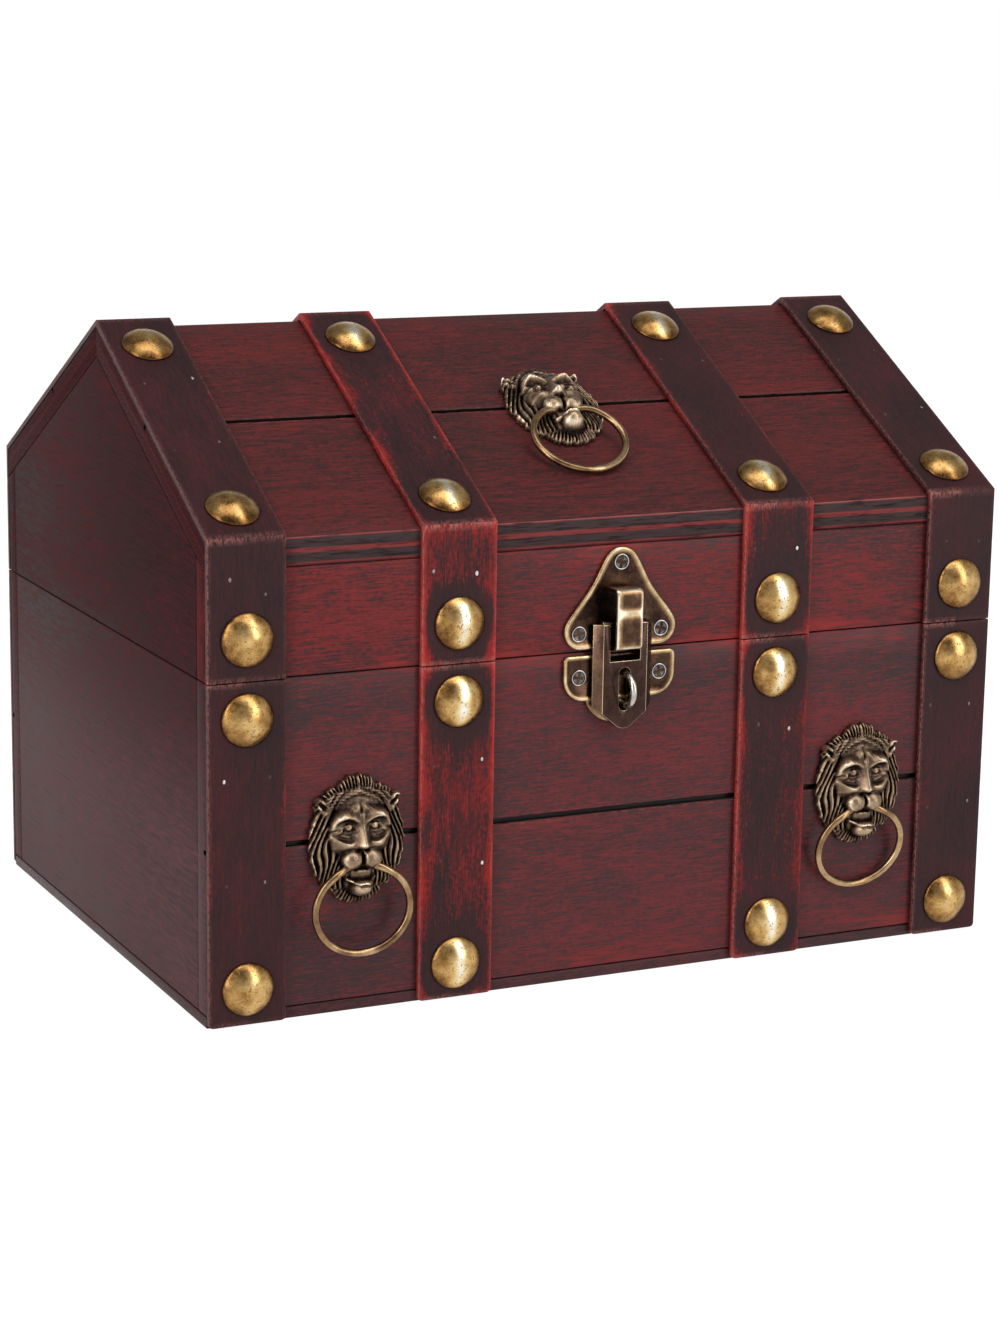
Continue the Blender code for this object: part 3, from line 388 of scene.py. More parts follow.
def strip_finish(name):
    """Strips: the same two coats, rubbed to red in smears and along the edges, to bare wood at the very edge and the
    ends, which at the eave folds is a painted highlight; darker towards the foot of the sides.
    """
    material, tree, place = new_finish(name)
    run = painted(tree, "strip", "Vector")
    clouds = grain(tree, run, (0.07, 0.035, 1.0), 3.0, 0.6)
    smears = grain(tree, run, (0.34, 0.06, 1.0), 4.0, 0.6)
    lines = grain(tree, run, (1.5, 0.07, 1.0), 3.0, 0.6)
    threads = grain(tree, run, (4.2, 0.3, 1.0), 2.0)
    speck = grain(tree, place, (900.0, 900.0, 900.0), 2.0)
    tone = weighted(tree, 0.5, ((clouds, 0.7), (lines, 0.35), (threads, 0.6), (speck, 0.35)))
    colour = tones(tree, tone, ((0.25, (0.018, 0.009, 0.011)), (0.45, (0.03, 0.011, 0.0125)),
                                (0.58, (0.042, 0.012, 0.0135)), (0.75, (0.066, 0.013, 0.015))))
    bare = weighted(tree, painted(tree, "worn"), ((smears, 0.85), (clouds, 0.5), (threads, 0.7), (speck, 0.6)))
    red = tones(tree, bare, ((0.1, (0.07, 0.012, 0.013)), (0.4, (0.15, 0.013, 0.013)), (0.7, (0.29, 0.018, 0.016)),
                             (1.0, (0.44, 0.038, 0.03))))
    colour = blend(tree, step_between(tree, bare, 0.1, 0.5), colour, red)
    crumbs = grain(tree, run, (2.4, 0.9, 1.0), 3.0, 0.65)
    # pale: bare wood along the edges and ends, at the eave folds a painted highlight
    pale = maths(tree, "MULTIPLY", painted(tree, "pale"), step_between(tree, crumbs, 0.38, 0.58))
    colour = blend(tree, pale, colour, BARE_WOOD)
    # Darker towards the foot of the strip's sides, next to the board
    foot_dark = maths(tree, "MULTIPLY", painted(tree, "foot_dark"), step_between(tree, crumbs, 0.62, 0.4))
    colour = blend(tree, foot_dark, colour, GLAZE_AND_SHADE_BLACK)
    rough = step_between(tree, tone, 0.25, 0.75, 0.36, 0.52)
    height = weighted(tree, threads, ((lines, 1.1), (speck, 0.5)))
    return finished(material, colour, rough, height, GRAIN_DEPTH, 0.55, 0.14)


STRIP_STAIN = strip_finish("strip_stain")


def metal_finish(name, stops, tarnish, gloss, spots, polish_and_light=None, scale=380.0, mottle=0.5):
    """Cast or pressed metal: a run of tones from dull to rubbed bright, with flecks of tarnish; the layer that sets
    the tone holds real polish and, on nails, hasp, loop and flap, painted light.
    """
    material, tree, place = new_finish(name)
    cloud = grain(tree, place, (scale * 0.6,) * 3, 4.0, 0.6)
    fleck = grain(tree, place, (scale * 3.4,) * 3, 3.0, 0.6, 2.2)
    share = weighted(tree, painted(tree, polish_and_light), ((cloud, mottle), (fleck, 0.4 * mottle))) if polish_and_light else cloud
    colour = tones(tree, share, stops)
    spot = step_between(tree, fleck, spots, spots + 0.12)
    colour = blend(tree, maths(tree, "MULTIPLY", spot, 0.75), colour, tarnish)
    rough = maths(tree, "ADD", maths(tree, "MULTIPLY", cloud, 0.18), maths(tree, "MULTIPLY", spot, 0.2))
    rough = maths(tree, "ADD", rough, gloss - 0.09)
    return finished(material, colour, rough, weighted(tree, cloud, ((fleck, 0.35),)), CAST_DEPTH, 0.5, metallic=1.0)


NAIL_BRASS = metal_finish(
    "nail_brass", ((0.06, (0.11, 0.05, 0.016)), (0.26, (0.3, 0.16, 0.05)), (0.48, (0.54, 0.34, 0.125)),
                   (0.72, (0.7, 0.53, 0.27)), (1.0, (0.82, 0.77, 0.66))),
    (0.15, 0.068, 0.022), 0.27, 0.54, "polish_and_light", 420.0, 0.95)
LION_BRONZE = metal_finish(
    "lion_bronze", ((0.05, (0.017, 0.012, 0.010)), (0.28, (0.068, 0.044, 0.032)), (0.55, (0.19, 0.126, 0.08)),
                    (0.8, (0.42, 0.305, 0.2)), (1.0, (0.68, 0.57, 0.43))),
    (0.035, 0.023, 0.017), 0.37, 0.68, "polish_and_light", 600.0)
RING_BRASS = metal_finish(
    "ring_brass", ((0.34, (0.14, 0.078, 0.04)), (0.5, (0.29, 0.18, 0.09)), (0.66, (0.47, 0.33, 0.18))),
    (0.09, 0.05, 0.03), 0.25, 0.68, None, 200.0)
HASP_BRASS = metal_finish(
    "hasp_brass", ((0.05, (0.028, 0.015, 0.012)), (0.25, (0.085, 0.045, 0.028)), (0.5, (0.23, 0.14, 0.072)),
                   (0.75, (0.46, 0.33, 0.175)), (1.0, (0.8, 0.72, 0.58))),
    (0.03, 0.018, 0.012), 0.29, 0.7, "polish_and_light", 380.0, 0.7)
FLAP_BRONZE = metal_finish(
    "flap_bronze", ((0.0, (0.026, 0.013, 0.011)), (0.25, (0.062, 0.034, 0.027)), (0.5, (0.18, 0.1, 0.056)),
                    (1.0, (0.66, 0.51, 0.33))),
    (0.03, 0.018, 0.012), 0.28, 0.7, "polish_and_light", 420.0, 0.6)
STAPLE_STEEL = metal_finish(
    "staple_steel", ((0.3, (0.28, 0.26, 0.23)), (0.7, (0.66, 0.64, 0.6))),
    (0.1, 0.08, 0.07), 0.24, 0.66)
SCREW_STEEL = metal_finish(
    "screw_steel", ((0.05, (0.02, 0.017, 0.017)), (0.35, (0.05, 0.042, 0.04)), (1.0, (0.62, 0.6, 0.56))),
    (0.02, 0.018, 0.016), 0.3, 0.72, "polish_and_light", 900.0)
BRAD_STEEL = metal_finish(
    "brad_steel", ((0.1, (0.08, 0.045, 0.045)), (0.5, (0.22, 0.16, 0.16)), (1.0, (0.7, 0.68, 0.66))),
    (0.06, 0.04, 0.04), 0.5, 0.6, "polish_and_light", 900.0)
HINGE_BRASS = metal_finish(
    "hinge_brass", ((0.3, (0.16, 0.1, 0.045)), (0.7, (0.5, 0.36, 0.17))),
    (0.07, 0.04, 0.02), 0.32, 0.62)

# Building


def layer(bm, name):
    """A layer of one number on each point, made where it is missing."""
    layers = bm.verts.layers.float
    return layers.get(name) or layers.new(name)


def paint(bm, name, value):
    """Give every point the same number, and give back the layer."""
    kind = layer(bm, name)
    for vert in bm.verts:
        vert[kind] = value
    return kind


def closed_mesh(name, bm):
    """Turn a bmesh into a mesh."""
    mesh = bpy.data.meshes.new(name)
    bm.to_mesh(mesh)
    bm.free()
    return mesh


def in_scene(name, data):
    """A new object in the scene."""
    thing = bpy.data.objects.new(name, data)
    bpy.context.scene.collection.objects.link(thing)
    return thing


def finish_piece(name, bm, body, materials, replaces=(), sharp=38.0):
    """Make a piece that rides on a body."""
    bmesh.ops.recalc_face_normals(bm, faces=bm.faces)
    mesh = closed_mesh(name, bm)
    for material in materials:
        mesh.materials.append(material)
    mesh.shade_smooth()
    mesh.set_sharp_from_angle(angle=math.radians(sharp))
    piece = in_scene(name, mesh)
    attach(piece, body)
    if replaces:
        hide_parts(*replaces)


def soften(bm, edges, width, segments=2):
    """Round some edges and give back the new faces."""
    return bmesh.ops.bevel(bm, geom=edges, affect="EDGES", offset=width, offset_type="OFFSET", segments=segments,
                           profile=0.5, material=-1, clamp_overlap=True)["faces"]


def rub_edges(bm, edges, width, flat=0.0):
    """Round some edges and mark the new faces as rubbed bright."""
    polish_and_light = bm.faces.layers.float.get("polish_and_light") or bm.faces.layers.float.new("polish_and_light")
    for face in bm.faces:
        face[polish_and_light] = max(face[polish_and_light], flat)
    for face in soften(bm, edges, width):
        face[polish_and_light] = 1.0
    return polish_and_light


def sharp_edges(bm, angle):
    """The edges that turn by more than some degrees."""
    return [edge for edge in bm.edges
            if len(edge.link_faces) == 2 and edge.calc_face_angle(0.0) > math.radians(angle)]


def join(bm, other):
    """Move another bmesh into this one."""
    mesh = closed_mesh("joined", other)
    bm.from_mesh(mesh)
    bpy.data.meshes.remove(mesh)


def verts_of(made):
    """The points among an operator's results."""
    return [item for item in made if isinstance(item, bmesh.types.BMVert)]


def edges_of(made):
    """The edges among an operator's results."""
    return [item for item in made if isinstance(item, bmesh.types.BMEdge)]


def open_edges(made):
    """The edges that have only one face."""
    return [edge for edge in edges_of(made) if len(edge.link_faces) == 1]


def draw_out(bm, edges, step):
    """Draw some edges out by a step, and give back what that made."""
    drawn = bmesh.ops.extrude_edge_only(bm, edges=edges)["geom"]
    bmesh.ops.translate(bm, verts=verts_of(drawn), vec=step)
    return drawn


def close_back(bm, depth):
    """Close a raised sheet with a wall down to a flat back."""
    wall = bmesh.ops.extrude_edge_only(bm, edges=open_edges(bm.edges))["geom"]
    for vert in verts_of(wall):
        vert.co.z = depth
    bmesh.ops.edgeloop_fill(bm, edges=open_edges(wall))


def node_copy(node):
    """A solid's own shape, its loose triangles merged into whole faces."""
    bm = bmesh.new()
    bm.from_mesh(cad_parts[node].data)
    bmesh.ops.remove_doubles(bm, verts=bm.verts, dist=MERGE)
    bmesh.ops.dissolve_limit(bm, angle_limit=math.radians(1.0), verts=bm.verts, edges=bm.edges)
    return bm


def long_board(name, section, kerf, body, materials, node, steps=150):
    """A board drawn out along the chest from its section, with a ragged saw kerf across its face."""
    bm = bmesh.new()
    kerf_shade, chip, rub = (layer(bm, kind) for kind in ("kerf_shade", "chip", "rub"))
    points = [(Vector((0, y, z)), 0.0, 0.0, 0) for y, z in section]
    face = points[1][0] - points[0][0]
    inset = face.normalized() * RUB_REACH
    if kerf:
        half = KERF_WIDTH / 2
        clear = half + KERF_LIP + 2 * KERF_CHIP
        # up, out, painted kerf shade, red, and the side where it is on a lip
        lower = [(-half - RUB_REACH, 0.0, 0.0, 0.0, 0), (-clear, 0.0, 0.0, 0.8, 0),
                 (-half - KERF_LIP, 0.0, 0.1, 0.8, -1), (-half, -KERF_LIP, 0.8, 0.8, -1),
                 (-half, -KERF_DEPTH, 1.0, 0.0, 0)]
        upper = [(-up, out, dark, red, -side) for up, out, dark, red, side in reversed(lower)]
        points[1:1] = [(kerf @ Vector((0, up, out)), dark, red, side) for up, out, dark, red, side in lower + upper]
    last = next(index for index, point in enumerate(points) if (point[0] - points[0][0] - face).length < 0.01 * MM)
    points[last:last] = [(points[last][0] - inset, 0.0, 0.0, 0)]
    points[last + 1] = (points[last + 1][0], 0.0, 1.0, 0)
    points[0:1] = [(points[0][0], 0.0, 1.0, 0), (points[0][0] + inset, 0.0, 0.0, 0)]
    ring = []
    sides = {}
    for point, dark, red, side in points:
        vert = bm.verts.new((-HALF, point.y, point.z))
        # painted shade inside the kerf, darkest at its bottom
        vert[kerf_shade] = dark
        vert[rub] = red
        vert[chip] = 0.8 if side == -1 else 0.4 * (side == 1)
        ring.append(vert)
        if side:
            sides[vert] = side
    edges = [bm.edges.new(pair) for pair in zip(ring, ring[1:] + ring[:1])]
    bmesh.ops.edgeloop_fill(bm, edges=edges)
    up = kerf.to_3x3() @ Vector((0, 1, 0)) if kerf else None
    lip_verts = list(sides.items())
    for _ in range(steps):
        drawn = draw_out(bm, edges, (WIDTH / steps, 0, 0))
        edges = open_edges(drawn)
        lip_verts += [(vert, 1 if vert[chip] < 0.6 else -1) for vert in verts_of(drawn) if vert[chip] > 0.1]
    bmesh.ops.edgeloop_fill(bm, edges=edges)
    bmesh.ops.recalc_face_normals(bm, faces=bm.faces)
    case = [edge for edge in sharp_edges(bm, 25) if not any(vert[chip] or vert[kerf_shade] for vert in edge.verts)]
    for vert, side in lip_verts:
        ragged = noise.noise((vert.co.x * 420, side * 3.0, 1.0)) + 0.5 * noise.noise((vert.co.x * 1300, side, 4.0))
        vert.co += up * side * KERF_CHIP * max(0.0, ragged - 0.1)
    soften(bm, case, BOARD_ROUND)
    ply = layer(bm, "ply")
    for vert in bm.verts:
        surface = EAVE_HEIGHT + (FACE - abs(vert.co.y)) * math.tan(SLOPE)
        vert[ply] = (surface - vert.co.z) / SLOPE_DROP
    if len(materials) > 1:
        for face in bm.faces:
            if abs(face.normal.x) > 0.9:
                face.material_index = len(materials) - 1
            elif abs(face.normal.y) > 0.9 and abs(abs(face.calc_center_median().y) - FACE) < 0.3 * MM:
                face.material_index = len(materials) - 2
    finish_piece(name, bm, body, materials, [node])


def mirrored(section):
    """The same section at the back."""
    return [(-y, z) for y, z in section]


def make_boards():
    """The long boards of base and lid, then the ends, gables and bottom."""
    inner = FACE - WALL
    base = [(-FACE, BOARD_FOOT), (-FACE, BASE_TOP), (-inner, BASE_TOP), (-inner, BOARD_FOOT)]
    kerf = front_place(0, BASE_KERF_HEIGHT)
    skins = [BASE_BOARD, END_BOARD]
    long_board("base_front_plank", base, kerf, "base", skins, "base_front_board")
    long_board("base_back_plank", mirrored(base), TURN_BACK @ kerf, "base", skins, "base_back_board")
    seat = EAVE_HEIGHT - SLOPE_DROP - SEAT_GAP
    lid = [(-FACE, LID_BOTTOM), (-FACE, seat), (-inner, seat + WALL * math.tan(SLOPE)), (-inner, LID_BOTTOM)]
    long_board("lid_front_plank", lid, None, "lid", [LID_BOARD, PLANK_END], "lid_front_board", 2)
    long_board("lid_back_plank", mirrored(lid), None, "lid", [LID_BOARD, GABLE_BOARD], "lid_back_board", 2)
    mitre = SEAT_GAP / 2
    top = RIDGE_HEIGHT - mitre * math.tan(SLOPE)
    slope = [(-FACE, EAVE_HEIGHT), (-mitre, top), (-mitre, top - SLOPE_DROP), (-FACE, EAVE_HEIGHT - SLOPE_DROP)]
    kerf = slope_place(0, SLOPE_KERF_RUN)
    skins = [ROOF_BOARD, PLY_EDGE, PLY_END]
    long_board("lid_front_roof", slope, kerf, "lid", skins, "lid_front_slope")
    long_board("lid_back_roof", mirrored(slope), TURN_BACK @ kerf, "lid", skins, "lid_back_slope")
    for node, body, finish, slot in (
            ("base_left_end", "base", END_BOARD, "end_stain"), ("base_right_end", "base", END_BOARD, "end_stain"),
            ("lid_left_gable", "lid", GABLE_BOARD, "end_stain"), ("lid_right_gable", "lid", GABLE_BOARD, "end_stain"),
            ("base_bottom", "base", FOOT_BOARD, "board_stain")):
        softened_copy(f"{node}_panel", node, body, finish, PANEL_ROUND)


def softened_copy(name, node, body, finish, width, angle=30.0, flat=0.0):
    """A solid's own shape with its corners rounded and marked as rubbed."""
    bm = node_copy(node)
    rub_edges(bm, sharp_edges(bm, angle), width, flat)
    finish_piece(name, bm, body, [finish], [node])


# How far the red shows on strips 1 to 4: left edge, right edge, middle; then the bare line left and right
STRIP_WEAR = {
    "base": ((0.3, 0.4, -0.08, 0.6, 0.2), (0.6, 0.8, 0.22, 0.8, 0.5), (0.7, 0.5, 0.12, 0.9, 0.2),
             (0.4, 0.2, -0.1, 0.8, 0.1)),
    "lid": ((0.25, 0.4, -0.12, 0.7, 0.4), (0.7, 0.8, 0.3, 0.9, 0.8), (0.8, 0.8, 0.12, 0.9, 0.4),
            (0.4, 0.2, -0.1, 0.8, 0.2)),
    "roof": ((0.2, 0.35, -0.16, 0.4, 0.4), (0.6, 0.8, 0.06, 0.4, 0.5), (0.6, 0.45, -0.08, 0.5, 0.3),
             (0.35, 0.25, -0.14, 0.5, 0.2)),
}


def strip_plate(number, face, length, studs, mitres=(0.0, 0.0), corner=False):
    """One flat strip on its own place: X across, Y along, Z out, with the wear, a painted highlight at the eave folds
    and a darker foot on the sides set on its points.
    """
    bm = bmesh.new()
    bmesh.ops.create_grid(bm, x_segments=18, y_segments=max(8, round(length / (1.5 * MM))), size=0.5)
    bmesh.ops.scale(bm, verts=bm.verts, vec=(STRAP_WIDTH, length, 1))
    bmesh.ops.translate(bm, verts=bm.verts, vec=(0, length / 2, SEAT_GAP))
    drawn = bmesh.ops.extrude_face_region(bm, geom=bm.faces[:])["geom"]
    bmesh.ops.translate(bm, verts=verts_of(drawn), vec=(0, 0, STRAP_THICK))
    bmesh.ops.recalc_face_normals(bm, faces=bm.faces)
    half = STRAP_WIDTH / 2
    tiny = 0.01 * MM
    if corner:
        posts = [edge for edge in bm.edges
                 if all(abs(abs(vert.co.x) - half) < tiny and vert.co.y < tiny for vert in edge.verts)]
        soften(bm, posts, STRAP_CORNER, 3)
    folds = [end for end, mitre in zip((0.0, length), mitres) if mitre == EAVE_MITRE]
    rim = [edge for edge in sharp_edges(bm, 50) if all(vert.co.z > STRAP_TOP - tiny for vert in edge.verts)
           and not any(all(abs(vert.co.y - end) < tiny for vert in edge.verts) for end in folds)]
    soften(bm, rim, STRAP_EDGE, 3)
    run = bm.verts.layers.float_vector.new("strip")
    worn, pale, foot_dark = (layer(bm, name) for name in ("worn", "pale", "foot_dark"))
    left, right, middle, bare_left, bare_right = STRIP_WEAR[face][number - 1]
    seed = number * 7.3 + len(face)
    for vert in bm.verts:
        across, along, out = vert.co
        below = STRAP_TOP - out
        from_edge = max(0.0, half - abs(across)) / MM
        from_end = max(0.0, min(along, length - along)) / MM
        vert[run] = (across / MM + math.copysign(below / MM, across), along / MM, seed)
        edge_red, edge_bare = (left, bare_left) if across < 0 else (right, bare_right)
        sway = 0.75 + 0.7 * noise.noise((along * 60, seed, math.copysign(2.0, across)))
        red = middle + edge_red * sway * math.exp(-from_edge / 1.3) + 0.35 * edge_red * math.exp(-from_end / 1.6)
        shade = 0.0
        for stud in studs:
            gap = (math.hypot(across, along - stud) - STUD_RADIUS) / MM
            shade = max(shade, bell(max(0.0, gap), 3.2))
        vert[worn] = red - 0.55 * shade
        at_edge = bell(from_edge + 0.6 * below / MM, 0.24)
        # Pale at the plate ends: wear, and at the eave folds a painted highlight
        end_wear_and_highlight = bell(from_end + 0.4 * below / MM, 0.4)
        vert[pale] = min(1.0, at_edge * edge_bare + 0.8 * end_wear_and_highlight * edge_bare)
        # Darker towards the foot of the sides, next to the board
        vert[foot_dark] = min(1.0, max(0.0, below / MM - 0.5)) * 0.5
        ragged = noise.noise((along * 430, seed, math.copysign(5.0, across))) - 0.25
        vert.co.x -= math.copysign(STRAP_NICK * max(0.0, ragged) * math.exp(-from_edge / 0.5), across)
    for vert in bm.verts:
        if vert.co.y < length / 2:
            vert.co.y -= vert.co.z * mitres[0] * max(0.0, 1 - vert.co.y / STRAP_FOLD_REACH)
        else:
            vert.co.y += vert.co.z * mitres[1] * max(0.0, 1 - (length - vert.co.y) / STRAP_FOLD_REACH)
    return bm


def make_strips():
    """Strips round the chest: mitred over the eaves and the ridge, cut at the lid."""
    rise = EAVE_HEIGHT - LID_BOTTOM - STRAP_FOLD_GAP
    run = SLOPE_RUN - 2 * STRAP_FOLD_GAP
    length = BASE_TOP - STRAP_FOOT
    lid_fold = (0.0, EAVE_MITRE)
    roof_folds = (EAVE_MITRE, RIDGE_MITRE)
    for number, x in enumerate(STRAP_PLACES, start=1):
        plates = [("lid", rise, [LID_STUD - LID_BOTTOM], lid_fold, front_place(x, LID_BOTTOM)),
                  ("roof", run, list(ROOF_STUDS.values()), roof_folds, slope_place(x, STRAP_FOLD_GAP)),
                  ("roof", run, [], roof_folds, TURN_BACK @ slope_place(-x, STRAP_FOLD_GAP)),
                  ("lid", rise, [], lid_fold, TURN_BACK @ front_place(-x, LID_BOTTOM))]
        bm = bmesh.new()
        for face, reach, studs, mitres, place in plates:
            plate = strip_plate(number, face, reach, studs, mitres)
            plate.transform(place)
            join(bm, plate)
        finish_piece(f"lid_strip_{number}", bm, "lid", [STRIP_STAIN], [f"lid_strap_{number}"])
        front_studs = [height - STRAP_FOOT for height in BASE_STUDS.values()]
        for side, studs, place in (("front", front_studs, front_place(x, STRAP_FOOT)),
                                   ("back", [], TURN_BACK @ front_place(-x, STRAP_FOOT))):
            bm = strip_plate(number, "base", length, studs, corner=True)
            bm.transform(place)
            finish_piece(f"{side}_strip_{number}", bm, "base", [STRIP_STAIN],
                         [f"base_{side}_strap_{number}"])


def turned(profile, segments):
    """Turn a profile of (radius, height) points round the local Z axis."""
    bm = bmesh.new()
    points = [bm.verts.new((radius, 0, height)) for radius, height in profile]
    edges = [bm.edges.new(pair) for pair in zip(points, points[1:])]
    bmesh.ops.spin(bm, geom=points + edges, cent=(0, 0, 0), axis=(0, 0, 1), angle=math.tau, steps=segments,
                   use_merge=True)
    bmesh.ops.remove_doubles(bm, verts=bm.verts, dist=MERGE)
    return bm


def make_nails():
    """Domed nail heads with a rolled rim, each a little dented."""
    rise = STUD_RISE - STUD_RIM
    ball = (STUD_RADIUS ** 2 + rise ** 2) / (2 * rise)
    sweep = math.asin(STUD_RADIUS / ball)
    profile = []
    for band in range(STUD_BANDS + 1):
        angle = sweep * band / STUD_BANDS
        profile.append((ball * math.sin(angle), STUD_SEAT + STUD_RISE - ball * (1 - math.cos(angle))))
    profile += [(STUD_RADIUS + 0.05 * MM, STUD_SEAT + 0.3 * MM), (STUD_RADIUS - 0.05 * MM, STUD_SEAT + 0.08 * MM),
                (STUD_RADIUS - 0.5 * MM, STUD_SEAT), (0.0, STUD_SEAT)]
    places = {}
    for number, x in enumerate(STRAP_PLACES, start=1):
        for row, height in BASE_STUDS.items():
            places[f"{number}_{row}"] = (number, "base", front_place(x, height))
        places[f"{number}_lid_front"] = (number, "lid", front_place(x, LID_STUD))
        for row, along in ROOF_STUDS.items():
            places[f"{number}_{row}"] = (number, "lid", slope_place(x, along))
    for name, (number, body, place) in places.items():
        bm = turned(profile, 56)
        polish_and_light = layer(bm, "polish_and_light")
        # Painted light: a pale vertical band down the middle, partly plating rubbed to silver and partly a painted
        # highlight, strongest on strips 2 and 3; the upper side lighter than the lower as painted shade
        painted_highlight = 0.6 if number in (2, 3) else 0.12
        for vert in bm.verts:
            across, up = vert.co.x / STUD_RADIUS, vert.co.y / STUD_RADIUS
            rim = max(0.0, math.hypot(across, up) - 0.55) / 0.45
            band = bell(across - 0.02, 0.27) * max(0.0, 1 - up * up) ** 0.5
            vert[polish_and_light] = 0.36 - 0.26 * rim ** 2 + 0.1 * up + painted_highlight * band
        bm.transform(place)
        out = place.to_3x3() @ Vector((0, 0, 1))
        for vert in bm.verts:
            dent = noise.noise(vert.co * 260) + 0.5 * noise.noise(vert.co * 700)
            vert.co += out * STUD_DENT * dent
        finish_piece(f"nail_{name}", bm, body, [NAIL_BRASS], [f"stud_{name}"])


# Lion masks: places are shares of the half width and half height, heights are millimetres over the wood

# Mounds and hollows on each side of the face: middle, size, rise and turn
FACE_MOUNDS = (
    ((0.42, 0.45), (0.16, 0.075), 0.9, -0.4),  # over the brow
    ((0.1, 0.56), (0.1, 0.07), 0.5, 0.0),  # forehead
    ((0.0, 0.48), (0.02, 0.09), -0.6, 0.0),  # furrow between the brows
    ((0.24, 0.57), (0.3, 0.035), -0.5, -0.3),  # crease across the forehead
    ((0.245, 0.24), (0.125, 0.075), -1.25, -0.1),  # eye socket
    ((0.24, 0.1), (0.11, 0.04), -0.5, -0.12),  # under the eye
    ((0.5, 0.21), (0.12, 0.085), 1.2, -0.4),  # temple
    ((0.56, 0.2), (0.12, 0.02), -0.5, -0.35),  # crease beside the eye
    ((0.43, -0.06), (0.17, 0.07), 0.4, -0.2),  # cheek
)
WHISKER_ROOTS = ((0.14, -0.25), (0.2, -0.2), (0.21, -0.28), (0.27, -0.235), (0.29, -0.29))


def swell(x, y, middle, size, low, high, power=0.5):
    """A rounded form on both cheeks, from one height at its edge to another in the middle."""
    away = ((np.abs(x) - middle[0]) / size[0]) ** 2 + ((y - middle[1]) / size[1]) ** 2
    return np.where(away < 1, low + (high - low) * np.maximum(1 - away, 0) ** power, -9.0)


def mound(x, y, middle, size, rise, turn=0.0):
    """A soft mound on both cheeks."""
    dx, dy = np.abs(x) - middle[0], (y - middle[1]) * MASK_ASPECT
    along = dx * math.cos(turn) + dy * math.sin(turn)
    across = dy * math.cos(turn) - dx * math.sin(turn)
    return rise * bell(along, size[0]) * bell(across, size[1] * MASK_ASPECT)


def fold(x, y, path, left, right):
    """A fold along a bent line of (across, up, height), with its own softness left and right of the line."""
    best = np.zeros_like(x)
    px, py = np.abs(x), y * MASK_ASPECT
    for (ax, ay, ah), (bx, by, bh) in zip(path, path[1:]):
        dx, dy = bx - ax, (by - ay) * MASK_ASPECT
        share = np.clip(((px - ax) * dx + (py - ay * MASK_ASPECT) * dy) / (dx * dx + dy * dy), 0, 1)
        ox, oy = px - ax - share * dx, py - ay * MASK_ASPECT - share * dy
        soft = np.where(dx * oy > dy * ox, left, right)
        best = np.maximum(best, (ah + share * (bh - ah)) * np.exp(-(ox ** 2 + oy ** 2) / soft ** 2))
    return best


def soft_top(layers, crisp):
    """The highest of some forms, with soft creases where they meet."""
    layers = np.stack(layers)
    top = np.max(layers, axis=0)
    return top + np.log(np.sum(np.exp(np.maximum(crisp * (layers - top), -60)), axis=0)) / crisp


def strands(phase, sharp=0.75):
    """Combed hair: rounded strands with narrow gaps, from 0 to 1."""
    return np.abs(np.cos(np.pi * phase)) ** sharp


def mask_reach(angle):
    """The outline as a share of the oval: a pointed crest, ears, notches by the beard, ragged tips."""
    up = np.sin(angle)
    side = np.abs(np.cos(angle))
    reach = 1 + 0.014 * np.cos(29 * angle + 0.4) + 0.008 * np.cos(53 * angle + 1.0)
    for where, width, change, top in ((0.42, 0.12, -0.07, 1), (0.8, 0.06, 0.08, 1), (0.93, 0.035, -0.03, 1),
                                      (0.58, 0.07, -0.07, -1)):
        reach += change * bell(side - where, width) * (up * top > 0)
    return reach


def mane_height(x, y):
    """Combed mane, crest, beard, the locks over the forehead and the ears."""
    side = np.abs(x)
    radius = np.hypot(x, y) / mask_reach(np.arctan2(y, x))
    lean = side / np.sqrt(np.maximum(1 - (y / 1.15) ** 2, 0.05))
    flow = 9.5 * (lean + 0.36 * y) + 0.3 * np.sin(5.5 * y + 4 * side + 1.0) + 0.3 * np.sin(9 * y + 7 * side)
    comb = 0.8 * strands(flow, 0.9) + 0.2 * strands(2.6 * flow + 0.4)
    fan = np.arctan2(side, y - 0.1)
    fall = np.arctan2(side, -0.25 - y)
    crown = np.clip((y - 0.8 + 0.35 * side ** 2) / 0.05, 0, 1)
    beard = np.clip((-y - 0.7) / 0.08, 0, 1) * np.clip((0.66 - side) / 0.08, 0, 1)
    hair = comb * (1 - np.maximum(crown, beard)) + strands(12.5 * fan + 0.3 * np.sin(6 * y), 0.9) * crown
    hair += (0.75 * strands(9.5 * fall + 0.5) + 0.25 * strands(24 * fall)) * beard
    dome = np.sqrt(np.maximum(0, 1 - np.minimum(radius, 1) ** 2.2))
    mane = 1.0 + 2.4 * dome + 1.6 * (hair - 0.6) * np.clip((1.05 - radius) / 0.1, 0.45, 1)
    line = 0.71 - 0.34 * side ** 2 + 0.012 * np.sin(11 * x + 0.8)
    off = (y - line) / 0.12
    curl = 0.6 * strands(0.9 * off + 3.4 * side + 0.3 * np.sin(9 * x + 1.0) + 0.2, 0.8)
    curl += 0.4 * strands(2.3 * off - 5 * side)
    locks = 2.0 + (1.3 - 0.9 * side) * np.sqrt(np.maximum(0, 1 - off ** 2)) + 1.2 * curl - 0.6
    locks = np.where((np.abs(off) < 1) & (side < 0.72), locks, -9.0)
    ear = np.maximum.reduce([swell(x, y, middle, (size, size), 1.4, top, 0.6)
                             for middle, size, top in (((0.67, 0.5), 0.13, 3.6), ((0.75, 0.585), 0.105, 4.0),
                                                       ((0.82, 0.665), 0.075, 3.6))])
    return soft_top([mane, locks, ear], 7.0) - mound(x, y, (0.745, 0.575), (0.12, 0.034), 2.0, 0.8)


